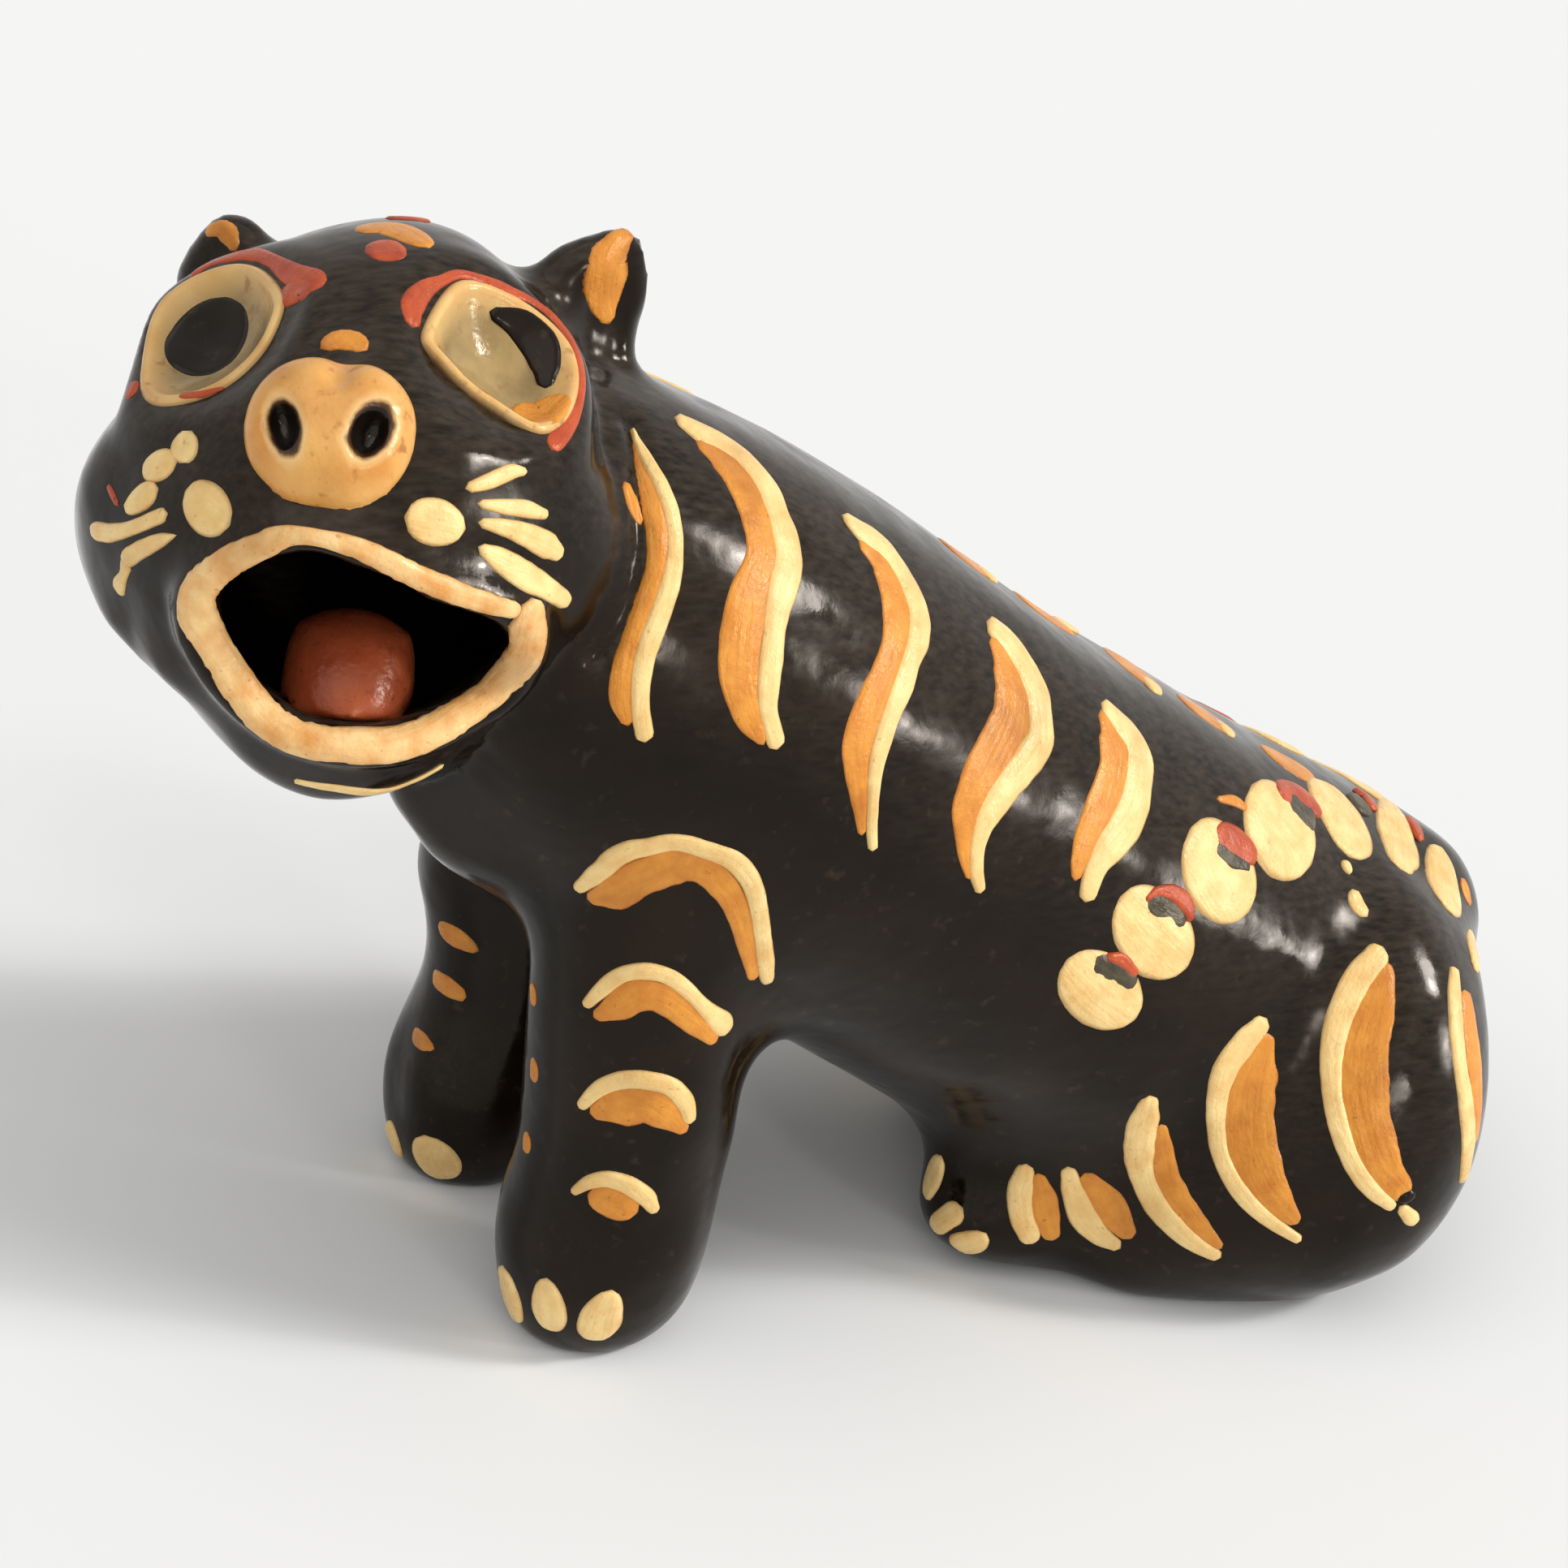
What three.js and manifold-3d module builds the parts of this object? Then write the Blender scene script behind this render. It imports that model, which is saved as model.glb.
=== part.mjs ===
// Seated tiger ornament, hand-built in earthenware, painted with slip and glazed.
// Millimetres, +Z up. The animal faces -Y, its own left side is +X, and z = 0 is the table.
// Each clay piece is formed alone and luted to its neighbour across a thin joint of slip.

import * as THREE from 'three';
import { mergeVertices } from 'three/addons/utils/BufferGeometryUtils.js';
import Module from 'manifold-3d';

const wasm = await Module();
wasm.setup();

// Clay
const WALL = 5.5;               // wall of the hollow torso and head
const SLIP_GAP = 0.3;           // slip joint between two pieces

// Torso, placed from the line between the front feet (y = 0)
const RUMP_SETBACK = 95;        // rump centre behind the front feet
const RUMP_HEIGHT = 36.2;
const RUMP_HALF_WIDTH = 37;
const RUMP_HALF_DEPTH = 38.5;
const RUMP_END_RISE = -7;        // rear end of the torso above the rump centre
const RUMP_TO_TAIL_END = 41;    // rump centre to the rear end of the torso
const WAIST_SETBACK = 51;
const WAIST_HEIGHT = 61.4;
const WAIST_RADIUS = 34.3;
const CHEST_SETBACK = 5.4;
const CHEST_HEIGHT = 88.7;
const CHEST_RADIUS = 36.2;
const NECK_RADIUS = 32;
const NECK_RISE = 8;            // front end of the torso above the head centre

// Head, turned towards the animal's left, lifted and cocked
const HEAD_RADIUS = 31;
const HEAD_SIDE = 3.5;
const HEAD_AHEAD = 39.8;        // head centre in front of the chest centre
const HEAD_RISE = 24.8;           // head centre above the chest centre
const HEAD_TURN = 65;           // degrees about the vertical
const HEAD_LIFT = 22;           // degrees of the face above level
const HEAD_TILT = -3;           // degrees, crown towards the animal's right
const COLLAR_RADIUS = 15;       // pipe between torso and head
const COLLAR_WALL = 4;
const COLLAR_REACH = 2;         // length of the pipe beyond each wall

// Swellings of the head: how far each stands out of the ball
const MUZZLE_SWELL = 4.5;
const JAW_SWELL = 3;
const CHIN_SWELL = 3;
const CHEEK_SWELL = 2;
const RIGHT_CHEEK_SWELL = 3.2;  // fuller, as the hand-formed head is
const CROWN_SWELL = 2.8;
const BROW_SWELL = 1.5;
const TEMPLE_HOLLOW = 3;
const JAW_HOLLOW = 2.5;

// Face
const EYE_SIDE = 38;            // degrees from the middle of the face
const EYE_UP = 36;              // degrees above the middle of the face
const EYE_RADIUS = 11;
const EYE_DEPTH = 4;
const EYE_WALL = 1.6;
const EYE_PROUD = 0.8;          // rim above the surrounding clay
const NOSE_UP = 13;             // degrees
const NOSE_HALF_WIDTH = 9.2;
const NOSE_LOBE_HALF_WIDTH = 7.7;
const NOSE_LOBE_LEAN = 16;      // degrees, tops apart
const NOSE_HALF_HEIGHT = 8.6;
const NOSE_THICKNESS = 5;
const NOSTRIL_SPACING = 9.4;
const NOSTRIL_HALF_WIDTH = 2;
const NOSTRIL_HALF_HEIGHT = 3.2;
const NOSTRIL_DEPTH = 4;
const MOUTH_SIDE = 7;           // degrees to the animal's left, as the hand-cut mouth sits
const MOUTH_DOWN = 27;          // degrees below the middle of the face
const MOUTH_HALF_WIDTH = 18.5;
const MOUTH_HALF_HEIGHT = 13;
const LIP_RADIUS = 2.8;         // lower lip and corners
const UPPER_LIP_RADIUS = 1.5;
const UPPER_LIP_FROM = 0.7;     // share of the mouth's half height where the thin upper lip begins
const MOUTH_SHAPE = [           // across and up, in shares of the half width and half height
  [-0.92, 0.2], [-0.75, 0.62], [-0.3, 1.04], [0.18, 0.91], [0.51, 0.6], [0.96, 0.22],
  [1.06, -0.2], [0.9, -0.75], [0.23, -1], [-0.45, -0.8], [-0.83, -0.25],
].reverse();                    // counter-clockwise as seen from outside
const TONGUE_HALF_WIDTH = 7.2;
const TONGUE_HEIGHT = 14.5;
const TONGUE_HALF_LENGTH = 9;
const TONGUE_AHEAD = 15;        // tongue middle in front of the head centre
const TONGUE_ROOT_DOWN = 60;    // degrees below the middle of the face
const EAR_SIDE = 118;           // degrees from the middle of the face, so behind the temples
const EAR_UP = 42;
const LEFT_EAR_SPLAY = 32;      // degrees outwards
const RIGHT_EAR_SPLAY = 14;
const EAR_NOD = 12;             // degrees forwards
const EAR_TURN = 30;            // degrees that the hollow faces outwards
const EAR_HALF_WIDTH = 9.5;
const EAR_TIP_HALF_WIDTH = 5;
const EAR_HALF_THICKNESS = 4.6;
const LEFT_EAR_LENGTH = 16.5;
const RIGHT_EAR_LENGTH = 10.5;  // pinched shorter than the left one
const EAR_SCOOP = 2.2;          // depth of the thumb hollow

// Front legs
const LEG_SPREAD = 19;          // each leg from the middle plane
const LEFT_PAW_BACK = 4.2;      // the hand-set legs stand a little out of line
const RIGHT_PAW_AHEAD = 1.4;
const SHOULDER_SETBACK = 4;
const SHOULDER_RADIUS = 16;
const SHIN_RADIUS = 13.8;
const PAW_RADIUS = 14.5;
const PAW_REACH = 2.5;          // paw middle in front of the shin

// Hind legs: a rounded haunch that runs forward into a paw
const HAUNCH_SIDE = 20;
const HAUNCH_BEHIND = 15;       // haunch centre behind the rump centre
const HAUNCH_REAR = 38;         // rear end of the haunch behind the rump centre
const HAUNCH_HEIGHT = 31;
const HAUNCH_LEAN = 26;         // degrees, tops together against the torso
const HAUNCH_HALF_WIDTH = 27;
const HAUNCH_HALF_DEPTH = 36;
const KNEE_AHEAD = 15;           // front of the thigh ahead of the rump centre
const KNEE_SIDE = 16;
const KNEE_HEIGHT = 21;
const KNEE_HALF_WIDTH = 19;
const KNEE_HALF_DEPTH = 26;
const HIND_PAW_SIDE = 16;
const HIND_PAW_AHEAD = 42;      // paw tip in front of the rump centre
const RIGHT_PAW_TUCK = 10;      // right paw further back than the left
const HIND_PAW_HALF_WIDTH = 14;
const HIND_PAW_LENGTH = 18;
const HIND_PAW_HEIGHT = 26;
const SOLE_SINK = 2;            // clay pressed flat against the table

// Tail, laid round the hidden right haunch
const TAIL_RADIUS = 5.5;
const TAIL_TIP_RADIUS = 3.6;
const TAIL_START_HEIGHT = 24;
const TAIL_END_HEIGHT = 30;
const TAIL_SWEEP = 82;          // degrees round the rump

// Ends of the rolls: 2 is round, more is blunter
const TORSO_BLUNTNESS = 2.8;
const FRONT_LEG_BLUNTNESS = 3.5;
const HIND_LEG_BLUNTNESS = 2.9;

// Facets
const TORSO_RINGS = 24;
const HOLLOW_RINGS = 16;
const DISH_STEPS = 4;
const MOUTH_STEPS = 40;
const TAIL_STEPS = 7;
const BALL_DETAIL = 8;
const HOLLOW_DETAIL = 4;
const SMALL_BALL_DETAIL = 4;
const ROUND_SIDES = 24;
const LIMB_SIDES = 18;
const EAR_RINGS = 9;
const EAR_SIDES = 14;
const LIP_SIDES = 8;

// Colours from the painted and glazed clay
const GLAZE = { color: 0x1d1611, roughness: 0.18, metalness: 0 };
const CREAM = { color: 0xe9b97c, roughness: 0.25, metalness: 0 };
const TAN = { color: 0xc3a56c, roughness: 0.22, metalness: 0 };
const OCHRE = { color: 0xd99a4c, roughness: 0.2, metalness: 0 };
const RED = { color: 0x983c1e, roughness: 0.3, metalness: 0 };

const vec = (x, y, z) => new THREE.Vector3(x, y, z);
const rad = THREE.MathUtils.degToRad;

// Unit direction on the head, in degrees to the animal's left and up from the middle of the face.
function facing(side, up) {
  const level = Math.cos(rad(up));
  return vec(Math.sin(rad(side)) * level, -Math.cos(rad(side)) * level, Math.sin(rad(up)));
}

// Smooth value through evenly spaced stations.
function profile(...values) {
  const curve = new THREE.SplineCurve(values.map((value, i) => new THREE.Vector2(i, value)));
  return (t) => curve.getPoint(t).y;
}

// Solids for cutting and joining
function solid(geometry) {
  geometry.deleteAttribute('normal');
  geometry.deleteAttribute('uv');
  const merged = mergeVertices(geometry, 1e-4);
  const index = merged.index.array;
  const triangles = [];
  for (let i = 0; i < index.length; i += 3) {
    const [a, b, c] = index.subarray(i, i + 3);
    if (a !== b && b !== c && c !== a) triangles.push(a, b, c);
  }
  const vertProperties = new Float32Array(merged.attributes.position.array);
  const triVerts = new Uint32Array(triangles);
  return new wasm.Manifold(new wasm.Mesh({ numProp: 3, vertProperties, triVerts }));
}

function pieceMesh(name, body, look) {
  const mesh = body.getMesh();
  const geometry = new THREE.BufferGeometry();
  geometry.setAttribute('position', new THREE.BufferAttribute(mesh.vertProperties, 3));
  geometry.setIndex(new THREE.BufferAttribute(mesh.triVerts, 1));
  geometry.computeVertexNormals();
  const piece = new THREE.Mesh(geometry, new THREE.MeshStandardMaterial(look));
  piece.name = name;
  return piece;
}

// One closed skin over rows of points, with a fan to a point at each end.
function closedSkin(start, rows, end) {
  const sides = rows[0].length;
  const points = [start, ...rows.flat(), end];
  const at = (row, side) => 1 + row * sides + (side % sides);
  const index = [];
  for (let j = 0; j < sides; j += 1) {
    index.push(0, at(0, j + 1), at(0, j));
    index.push(points.length - 1, at(rows.length - 1, j), at(rows.length - 1, j + 1));
  }
  for (let i = 0; i + 1 < rows.length; i += 1) {
    for (let j = 0; j < sides; j += 1) {
      index.push(at(i, j), at(i, j + 1), at(i + 1, j + 1));
      index.push(at(i, j), at(i + 1, j + 1), at(i + 1, j));
    }
  }
  return new THREE.BufferGeometry().setFromPoints(points).setIndex(index);
}

// One closed skin over rows of points that run round a loop.
function loopSkin(rows) {
  const sides = rows[0].length;
  const at = (row, side) => (row % rows.length) * sides + (side % sides);
  const index = [];
  for (let i = 0; i < rows.length; i += 1) {
    for (let j = 0; j < sides; j += 1) {
      index.push(at(i, j), at(i, j + 1), at(i + 1, j + 1));
      index.push(at(i, j), at(i + 1, j + 1), at(i + 1, j));
    }
  }
  return new THREE.BufferGeometry().setFromPoints(rows.flat()).setIndex(index);
}

// Oval of points round a centre, counter-clockwise about the tangent.
function ovalRing(centre, tangent, sideways, halfWidth, halfDepth, sides) {
  const side = sideways.clone().addScaledVector(tangent, -sideways.dot(tangent)).normalize();
  const up = tangent.clone().cross(side);
  const ring = [];
  for (let j = 0; j < sides; j += 1) {
    const angle = (2 * Math.PI * j) / sides;
    const point = centre.clone().addScaledVector(side, Math.cos(angle) * halfWidth);
    ring.push(point.addScaledVector(up, Math.sin(angle) * halfDepth));
  }
  return ring;
}

// A limb is a spine with an oval section that closes in a dome at both ends.
// Its sections stand square to the direction along, so that a fat limb never folds on itself.
function limb({ spine, along, sideways = vec(1, 0, 0), halfWidth, halfDepth, ...shape }, grow = 0) {
  const { bluntness = 2.4, rings = 14, sides = LIMB_SIDES } = shape;
  const rows = [];
  for (let i = 1; i < rings; i += 1) {
    const u = -Math.cos((Math.PI * i) / rings);
    const t = (u + 1) / 2;
    const dome = (1 - Math.abs(u) ** bluntness) ** (1 / bluntness);
    const width = halfWidth(t) * dome + grow;
    const depth = halfDepth(t) * dome + grow;
    rows.push(ovalRing(spine.getPoint(t), along, sideways, width, depth, sides));
  }
  const start = spine.getPoint(0).addScaledVector(along, -grow);
  const end = spine.getPoint(1).addScaledVector(along, grow);
  return closedSkin(start, rows, end);
}

// A tapered coil along a curve, rounded at both ends.
function tube(path, radiusAt, rings = 18, sides = 10) {
  const rows = [];
  for (let i = 1; i < rings; i += 1) {
    const u = -Math.cos((Math.PI * i) / rings);
    const t = (u + 1) / 2;
    const radius = radiusAt(t) * (1 - u ** 4) ** (1 / 4);
    rows.push(ovalRing(path.getPoint(t), path.getTangent(t), vec(0, 0, 1), radius, radius, sides));
  }
  return closedSkin(path.getPoint(0), rows, path.getPoint(1));
}

// A ball whose radius depends on the direction from its middle.
function ball(radiusAt, detail) {
  const unit = new THREE.IcosahedronGeometry(1, detail);
  unit.deleteAttribute('normal');
  unit.deleteAttribute('uv');
  const geometry = mergeVertices(unit, 1e-4);
  const position = geometry.attributes.position;
  const direction = vec(0, 0, 0);
  for (let i = 0; i < position.count; i += 1) {
    direction.fromBufferAttribute(position, i).normalize();
    const radius = radiusAt(direction);
    position.setXYZ(i, direction.x * radius, direction.y * radius, direction.z * radius);
  }
  return geometry;
}

// A flattened ball with three half sizes.
function oval(halfX, halfY, halfZ, detail) {
  return ball(() => 1, detail).scale(halfX, halfY, halfZ);
}

// A round bar between two points.
function bar(from, to, radius, sides = ROUND_SIDES) {
  const along = to.clone().sub(from).normalize();
  const row = (centre) => ovalRing(centre, along, vec(1, 0, 0), radius, radius, sides);
  return closedSkin(from, [row(from), row(to)], to);
}

// Everything below the table, which flattens the soles and the seat.
const TABLE_SIZE = 1000;
const bigBlock = () => new THREE.BoxGeometry(TABLE_SIZE, TABLE_SIZE, TABLE_SIZE);
const table = solid(bigBlock().translate(0, 0, -TABLE_SIZE / 2));

// Head: one ball with soft swellings
const SWELLINGS = [
  { side: 0, up: -2, spread: 30, height: MUZZLE_SWELL },
  { side: 0, up: -46, spread: 30, height: JAW_SWELL },
  { side: 0, up: -84, spread: 30, height: CHIN_SWELL },
  { side: 82, up: -12, spread: 32, height: CHEEK_SWELL },
  { side: -82, up: -18, spread: 32, height: RIGHT_CHEEK_SWELL },
  { side: 70, up: 82, spread: 20, height: CROWN_SWELL },
  { side: 30, up: 56, spread: 20, height: BROW_SWELL },
  { side: -30, up: 56, spread: 20, height: BROW_SWELL },
  { side: 80, up: 27, spread: 18, height: -TEMPLE_HOLLOW },
  { side: -80, up: 27, spread: 18, height: -TEMPLE_HOLLOW },
  { side: 68, up: -42, spread: 22, height: -JAW_HOLLOW },
  { side: -68, up: -42, spread: 22, height: -JAW_HOLLOW },
].map((swelling) => ({ ...swelling, middle: facing(swelling.side, swelling.up) }));

const bump = (direction, middle, spread) => Math.exp(-((direction.angleTo(middle) / rad(spread)) ** 2));

function headRadius(direction) {
  const swell = SWELLINGS.map(({ middle, spread, height }) => height * bump(direction, middle, spread));
  return swell.reduce((sum, height) => sum + height, HEAD_RADIUS);
}

const EYES = { left: facing(EYE_SIDE, EYE_UP), right: facing(-EYE_SIDE, EYE_UP) };
const EYE_PRESS_SPREAD = 30;

// Inside of the head: the thumb that pressed each eye pushed the wall inwards there.
function hollowRadius(direction) {
  const pressed = Object.values(EYES).map((middle) => bump(direction, middle, EYE_PRESS_SPREAD));
  return headRadius(direction) - WALL - (EYE_DEPTH + EYE_PROUD) * Math.max(...pressed);
}

const headBall = (grow, detail = BALL_DETAIL) => ball((direction) => headRadius(direction) + grow, detail);
const headHollow = (shrink) => ball((direction) => hollowRadius(direction) - shrink, HOLLOW_DETAIL);

// Where a line from a point inside the head comes out of its skin.
function headSurface(from, along) {
  let near = 0;
  let far = 2 * HEAD_RADIUS;
  for (let i = 0; i < 40; i += 1) {
    const middle = (near + far) / 2;
    const point = from.clone().addScaledVector(along, middle);
    const inside = point.length() < headRadius(point.clone().normalize());
    if (inside) near = middle;
    else far = middle;
  }
  return from.clone().addScaledVector(along, near);
}

// Turn and place a piece that is drawn with its own +Z outwards.
function outwards(direction, sideways, origin) {
  const side = sideways.clone().addScaledVector(direction, -sideways.dot(direction)).normalize();
  const up = direction.clone().cross(side);
  return new THREE.Matrix4().makeBasis(side, up, direction).setPosition(origin);
}

const headCentre = vec(HEAD_SIDE, CHEST_SETBACK - HEAD_AHEAD, CHEST_HEIGHT + HEAD_RISE);
const headTurn = new THREE.Euler(rad(-HEAD_LIFT), rad(HEAD_TILT), rad(HEAD_TURN), 'ZXY');
const headToBody = new THREE.Matrix4().makeRotationFromEuler(headTurn).setPosition(headCentre);
const bodyToHead = headToBody.clone().invert();

// Torso: a fat roll of clay from the seat up to the back of the head
const chest = vec(0, CHEST_SETBACK, CHEST_HEIGHT);
const rump = vec(0, RUMP_SETBACK, RUMP_HEIGHT);
const neckAxis = headCentre.clone().sub(chest).normalize();
const torsoShape = {
  along: chest.clone().sub(rump).normalize(),
  spine: new THREE.CatmullRomCurve3([
    rump.clone().add(vec(0, RUMP_TO_TAIL_END, RUMP_END_RISE)),
    rump,
    vec(0, WAIST_SETBACK, WAIST_HEIGHT),
    chest,
    headCentre.clone().add(vec(0, 0, NECK_RISE)),
  ]),
  halfWidth: profile(RUMP_HALF_WIDTH, RUMP_HALF_WIDTH, WAIST_RADIUS, CHEST_RADIUS, NECK_RADIUS),
  halfDepth: profile(RUMP_HALF_DEPTH, RUMP_HALF_DEPTH, WAIST_RADIUS, CHEST_RADIUS, NECK_RADIUS),
  bluntness: TORSO_BLUNTNESS,
  rings: TORSO_RINGS,
  sides: ROUND_SIDES,
};
const torsoOuter = (grow) => solid(limb(torsoShape, grow));
const headOnBody = (grow, detail) => solid(headBall(grow, detail).applyMatrix4(headToBody));

// Everything on one side of the middle plane, less half a joint.
const halfSpace = (side) => solid(bigBlock().translate((side * (TABLE_SIZE + SLIP_GAP)) / 2, 0, 0));

// Half of the hollow torso, as it leaves the press: the two halves meet on the middle plane.
function torsoHalf(side) {
  const hollow = solid(limb({ ...torsoShape, rings: HOLLOW_RINGS, sides: LIMB_SIDES }, -WALL));
  const headRoom = headOnBody(SLIP_GAP + WALL, HOLLOW_DETAIL);
  const cavity = hollow.subtract(headRoom).subtract(table.translate(0, 0, WALL));
  const clay = torsoOuter(0).subtract(headOnBody(SLIP_GAP)).subtract(cavity);
  const neckHole = solid(bar(chest, headCentre, COLLAR_RADIUS + SLIP_GAP));
  return clay.subtract(neckHole).subtract(table).intersect(halfSpace(side));
}

// Neck collar: a short pipe through both walls, which carries the head and lets air through
function neckCollar() {
  const fromHead = (distance) => headCentre.clone().addScaledVector(neckAxis, -distance);
  const outer = fromHead(HEAD_RADIUS + WALL + COLLAR_REACH);
  const inner = fromHead(HEAD_RADIUS - WALL - COLLAR_REACH);
  const bore = solid(bar(chest, headCentre, COLLAR_RADIUS - COLLAR_WALL));
  return solid(bar(outer, inner, COLLAR_RADIUS)).subtract(bore);
}

// Front leg: a tapered roll from inside the shoulder to a paw that reaches forward
function frontLegShape(side) {
  const x = side * LEG_SPREAD;
  const y = side > 0 ? LEFT_PAW_BACK : -RIGHT_PAW_AHEAD;
  return {
    along: vec(0, 0, 1),
    spine: new THREE.CatmullRomCurve3([
      vec(x, y - PAW_REACH, -SOLE_SINK),
      vec(x, y - PAW_REACH / 2, PAW_RADIUS),
      vec(x, (y + SHOULDER_SETBACK) / 2, CHEST_HEIGHT / 3),
      vec(x, SHOULDER_SETBACK, (2 * CHEST_HEIGHT) / 3),
      vec(x, SHOULDER_SETBACK, CHEST_HEIGHT),
    ]),
    halfWidth: profile(PAW_RADIUS, PAW_RADIUS, SHIN_RADIUS, SHIN_RADIUS, SHOULDER_RADIUS),
    halfDepth: profile(PAW_RADIUS, PAW_RADIUS, SHIN_RADIUS, SHOULDER_RADIUS, SHOULDER_RADIUS),
    bluntness: FRONT_LEG_BLUNTNESS,
  };
}

function frontLeg(side) {
  return solid(limb(frontLegShape(side))).subtract(torsoOuter(SLIP_GAP)).subtract(table);
}

// Hind leg: the haunch and its forward paw, cut on the middle plane and by the torso
function hindLegShape(side) {
  const tip = RUMP_SETBACK - HIND_PAW_AHEAD + (side < 0 ? RIGHT_PAW_TUCK : 0);
  const pawDepth = HIND_PAW_HEIGHT / 2;
  const pawWidth = HIND_PAW_HALF_WIDTH;
  return {
    along: vec(0, -1, 0),
    sideways: vec(Math.cos(rad(HAUNCH_LEAN)), 0, side * Math.sin(rad(HAUNCH_LEAN))),
    spine: new THREE.CatmullRomCurve3([
      vec(side * HAUNCH_SIDE, RUMP_SETBACK + HAUNCH_REAR, HAUNCH_HEIGHT),
      vec(side * HAUNCH_SIDE, RUMP_SETBACK + HAUNCH_BEHIND, HAUNCH_HEIGHT),
      vec(side * KNEE_SIDE, RUMP_SETBACK - KNEE_AHEAD, KNEE_HEIGHT),
      vec(side * HIND_PAW_SIDE, tip + HIND_PAW_LENGTH, pawDepth - SOLE_SINK),
      vec(side * HIND_PAW_SIDE, tip, pawDepth - SOLE_SINK),
    ]),
    halfWidth: profile(HAUNCH_HALF_WIDTH, HAUNCH_HALF_WIDTH, KNEE_HALF_WIDTH, pawWidth, pawWidth),
    halfDepth: profile(HAUNCH_HALF_DEPTH, HAUNCH_HALF_DEPTH, KNEE_HALF_DEPTH, pawDepth, pawDepth),
    bluntness: HIND_LEG_BLUNTNESS,
  };
}

function hindLeg(side) {
  const leg = solid(limb(hindLegShape(side))).intersect(halfSpace(side));
  return leg.subtract(torsoOuter(SLIP_GAP)).subtract(table);
}

// Head shell: the hollow ball, open at the mouth, with seats for what is luted to it
const mouthAxis = facing(MOUTH_SIDE, -MOUTH_DOWN);
const mouthUp = vec(1, 0, 0).cross(mouthAxis).multiplyScalar(-1);

const mouthOutline = new THREE.CatmullRomCurve3(
  MOUTH_SHAPE.map(([across, up]) => vec(across * MOUTH_HALF_WIDTH, up * MOUTH_HALF_HEIGHT, 0)),
  true,
);

// Points round the mouth, in its own plane: across and up.
const mouthSteps = Array.from({ length: MOUTH_STEPS }, (_, i) => mouthOutline.getPoint(i / MOUTH_STEPS));
const inMouth = (step) => vec(step.x, 0, 0).addScaledVector(mouthUp, step.y);

function mouthCut(shrink) {
  const from = mouthAxis.clone().multiplyScalar(HEAD_RADIUS / 2);
  const to = mouthAxis.clone().multiplyScalar(1.5 * HEAD_RADIUS);
  const edge = mouthSteps.map((step) => inMouth(step.clone().setLength(step.length() - shrink)));
  const row = (centre) => edge.map((point) => point.clone().add(centre));
  return solid(closedSkin(from, [row(from), row(to)], to));
}

function lipCoil(grow) {
  const points = mouthSteps.map((step) => headSurface(inMouth(step), mouthAxis));
  const path = new THREE.CatmullRomCurve3(points, true);
  const rows = points.map((point, i) => {
    const upper = THREE.MathUtils.smoothstep(mouthSteps[i].y / MOUTH_HALF_HEIGHT, 0, UPPER_LIP_FROM);
    const radius = THREE.MathUtils.lerp(LIP_RADIUS, UPPER_LIP_RADIUS, upper) + grow;
    return ovalRing(point, path.getTangent(i / MOUTH_STEPS), mouthAxis, radius, radius, LIP_SIDES);
  });
  return solid(loopSkin(rows));
}

// Eye cup: a thumb-pressed dish with a rounded rim, in a socket of the same shape
const eyeRimSink = HEAD_RADIUS - Math.sqrt(HEAD_RADIUS ** 2 - EYE_RADIUS ** 2);

function dishOutline(radius, depth) {
  const outline = [];
  for (let i = 0; i <= DISH_STEPS; i += 1) {
    const angle = (Math.PI / 2) * (i / DISH_STEPS);
    outline.push(new THREE.Vector2(radius * Math.sin(angle), -depth * Math.cos(angle)));
  }
  return outline;
}

function turnedInFace(outline, middle) {
  const origin = middle.clone().multiplyScalar(headRadius(middle) - eyeRimSink + EYE_PROUD);
  const turned = new THREE.LatheGeometry(outline, ROUND_SIDES).rotateX(Math.PI / 2);
  return solid(turned.applyMatrix4(outwards(middle, vec(1, 0, 0), origin)));
}

function eyeCup(middle) {
  const outside = dishOutline(EYE_RADIUS, EYE_DEPTH + EYE_WALL);
  const rim = new THREE.Vector2(EYE_RADIUS - EYE_WALL / 2, EYE_WALL / 3);
  const inside = dishOutline(EYE_RADIUS - EYE_WALL, EYE_DEPTH).reverse();
  return turnedInFace([...outside, rim, ...inside], middle);
}

function eyeSocket(middle) {
  const radius = EYE_RADIUS + SLIP_GAP;
  const dish = dishOutline(radius, EYE_DEPTH + EYE_WALL + SLIP_GAP);
  const open = [new THREE.Vector2(radius, HEAD_RADIUS), new THREE.Vector2(0, HEAD_RADIUS)];
  return turnedInFace([...dish, ...open], middle);
}

function collarHole() {
  const from = chest.clone().applyMatrix4(bodyToHead);
  return solid(bar(from, vec(0, 0, 0), COLLAR_RADIUS + SLIP_GAP));
}

function headShell() {
  let shell = solid(headBall(0)).subtract(solid(headHollow(0)));
  shell = shell.subtract(mouthCut(0)).subtract(collarHole()).subtract(lipCoil(SLIP_GAP));
  return shell.subtract(eyeSocket(EYES.left)).subtract(eyeSocket(EYES.right));
}

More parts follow.
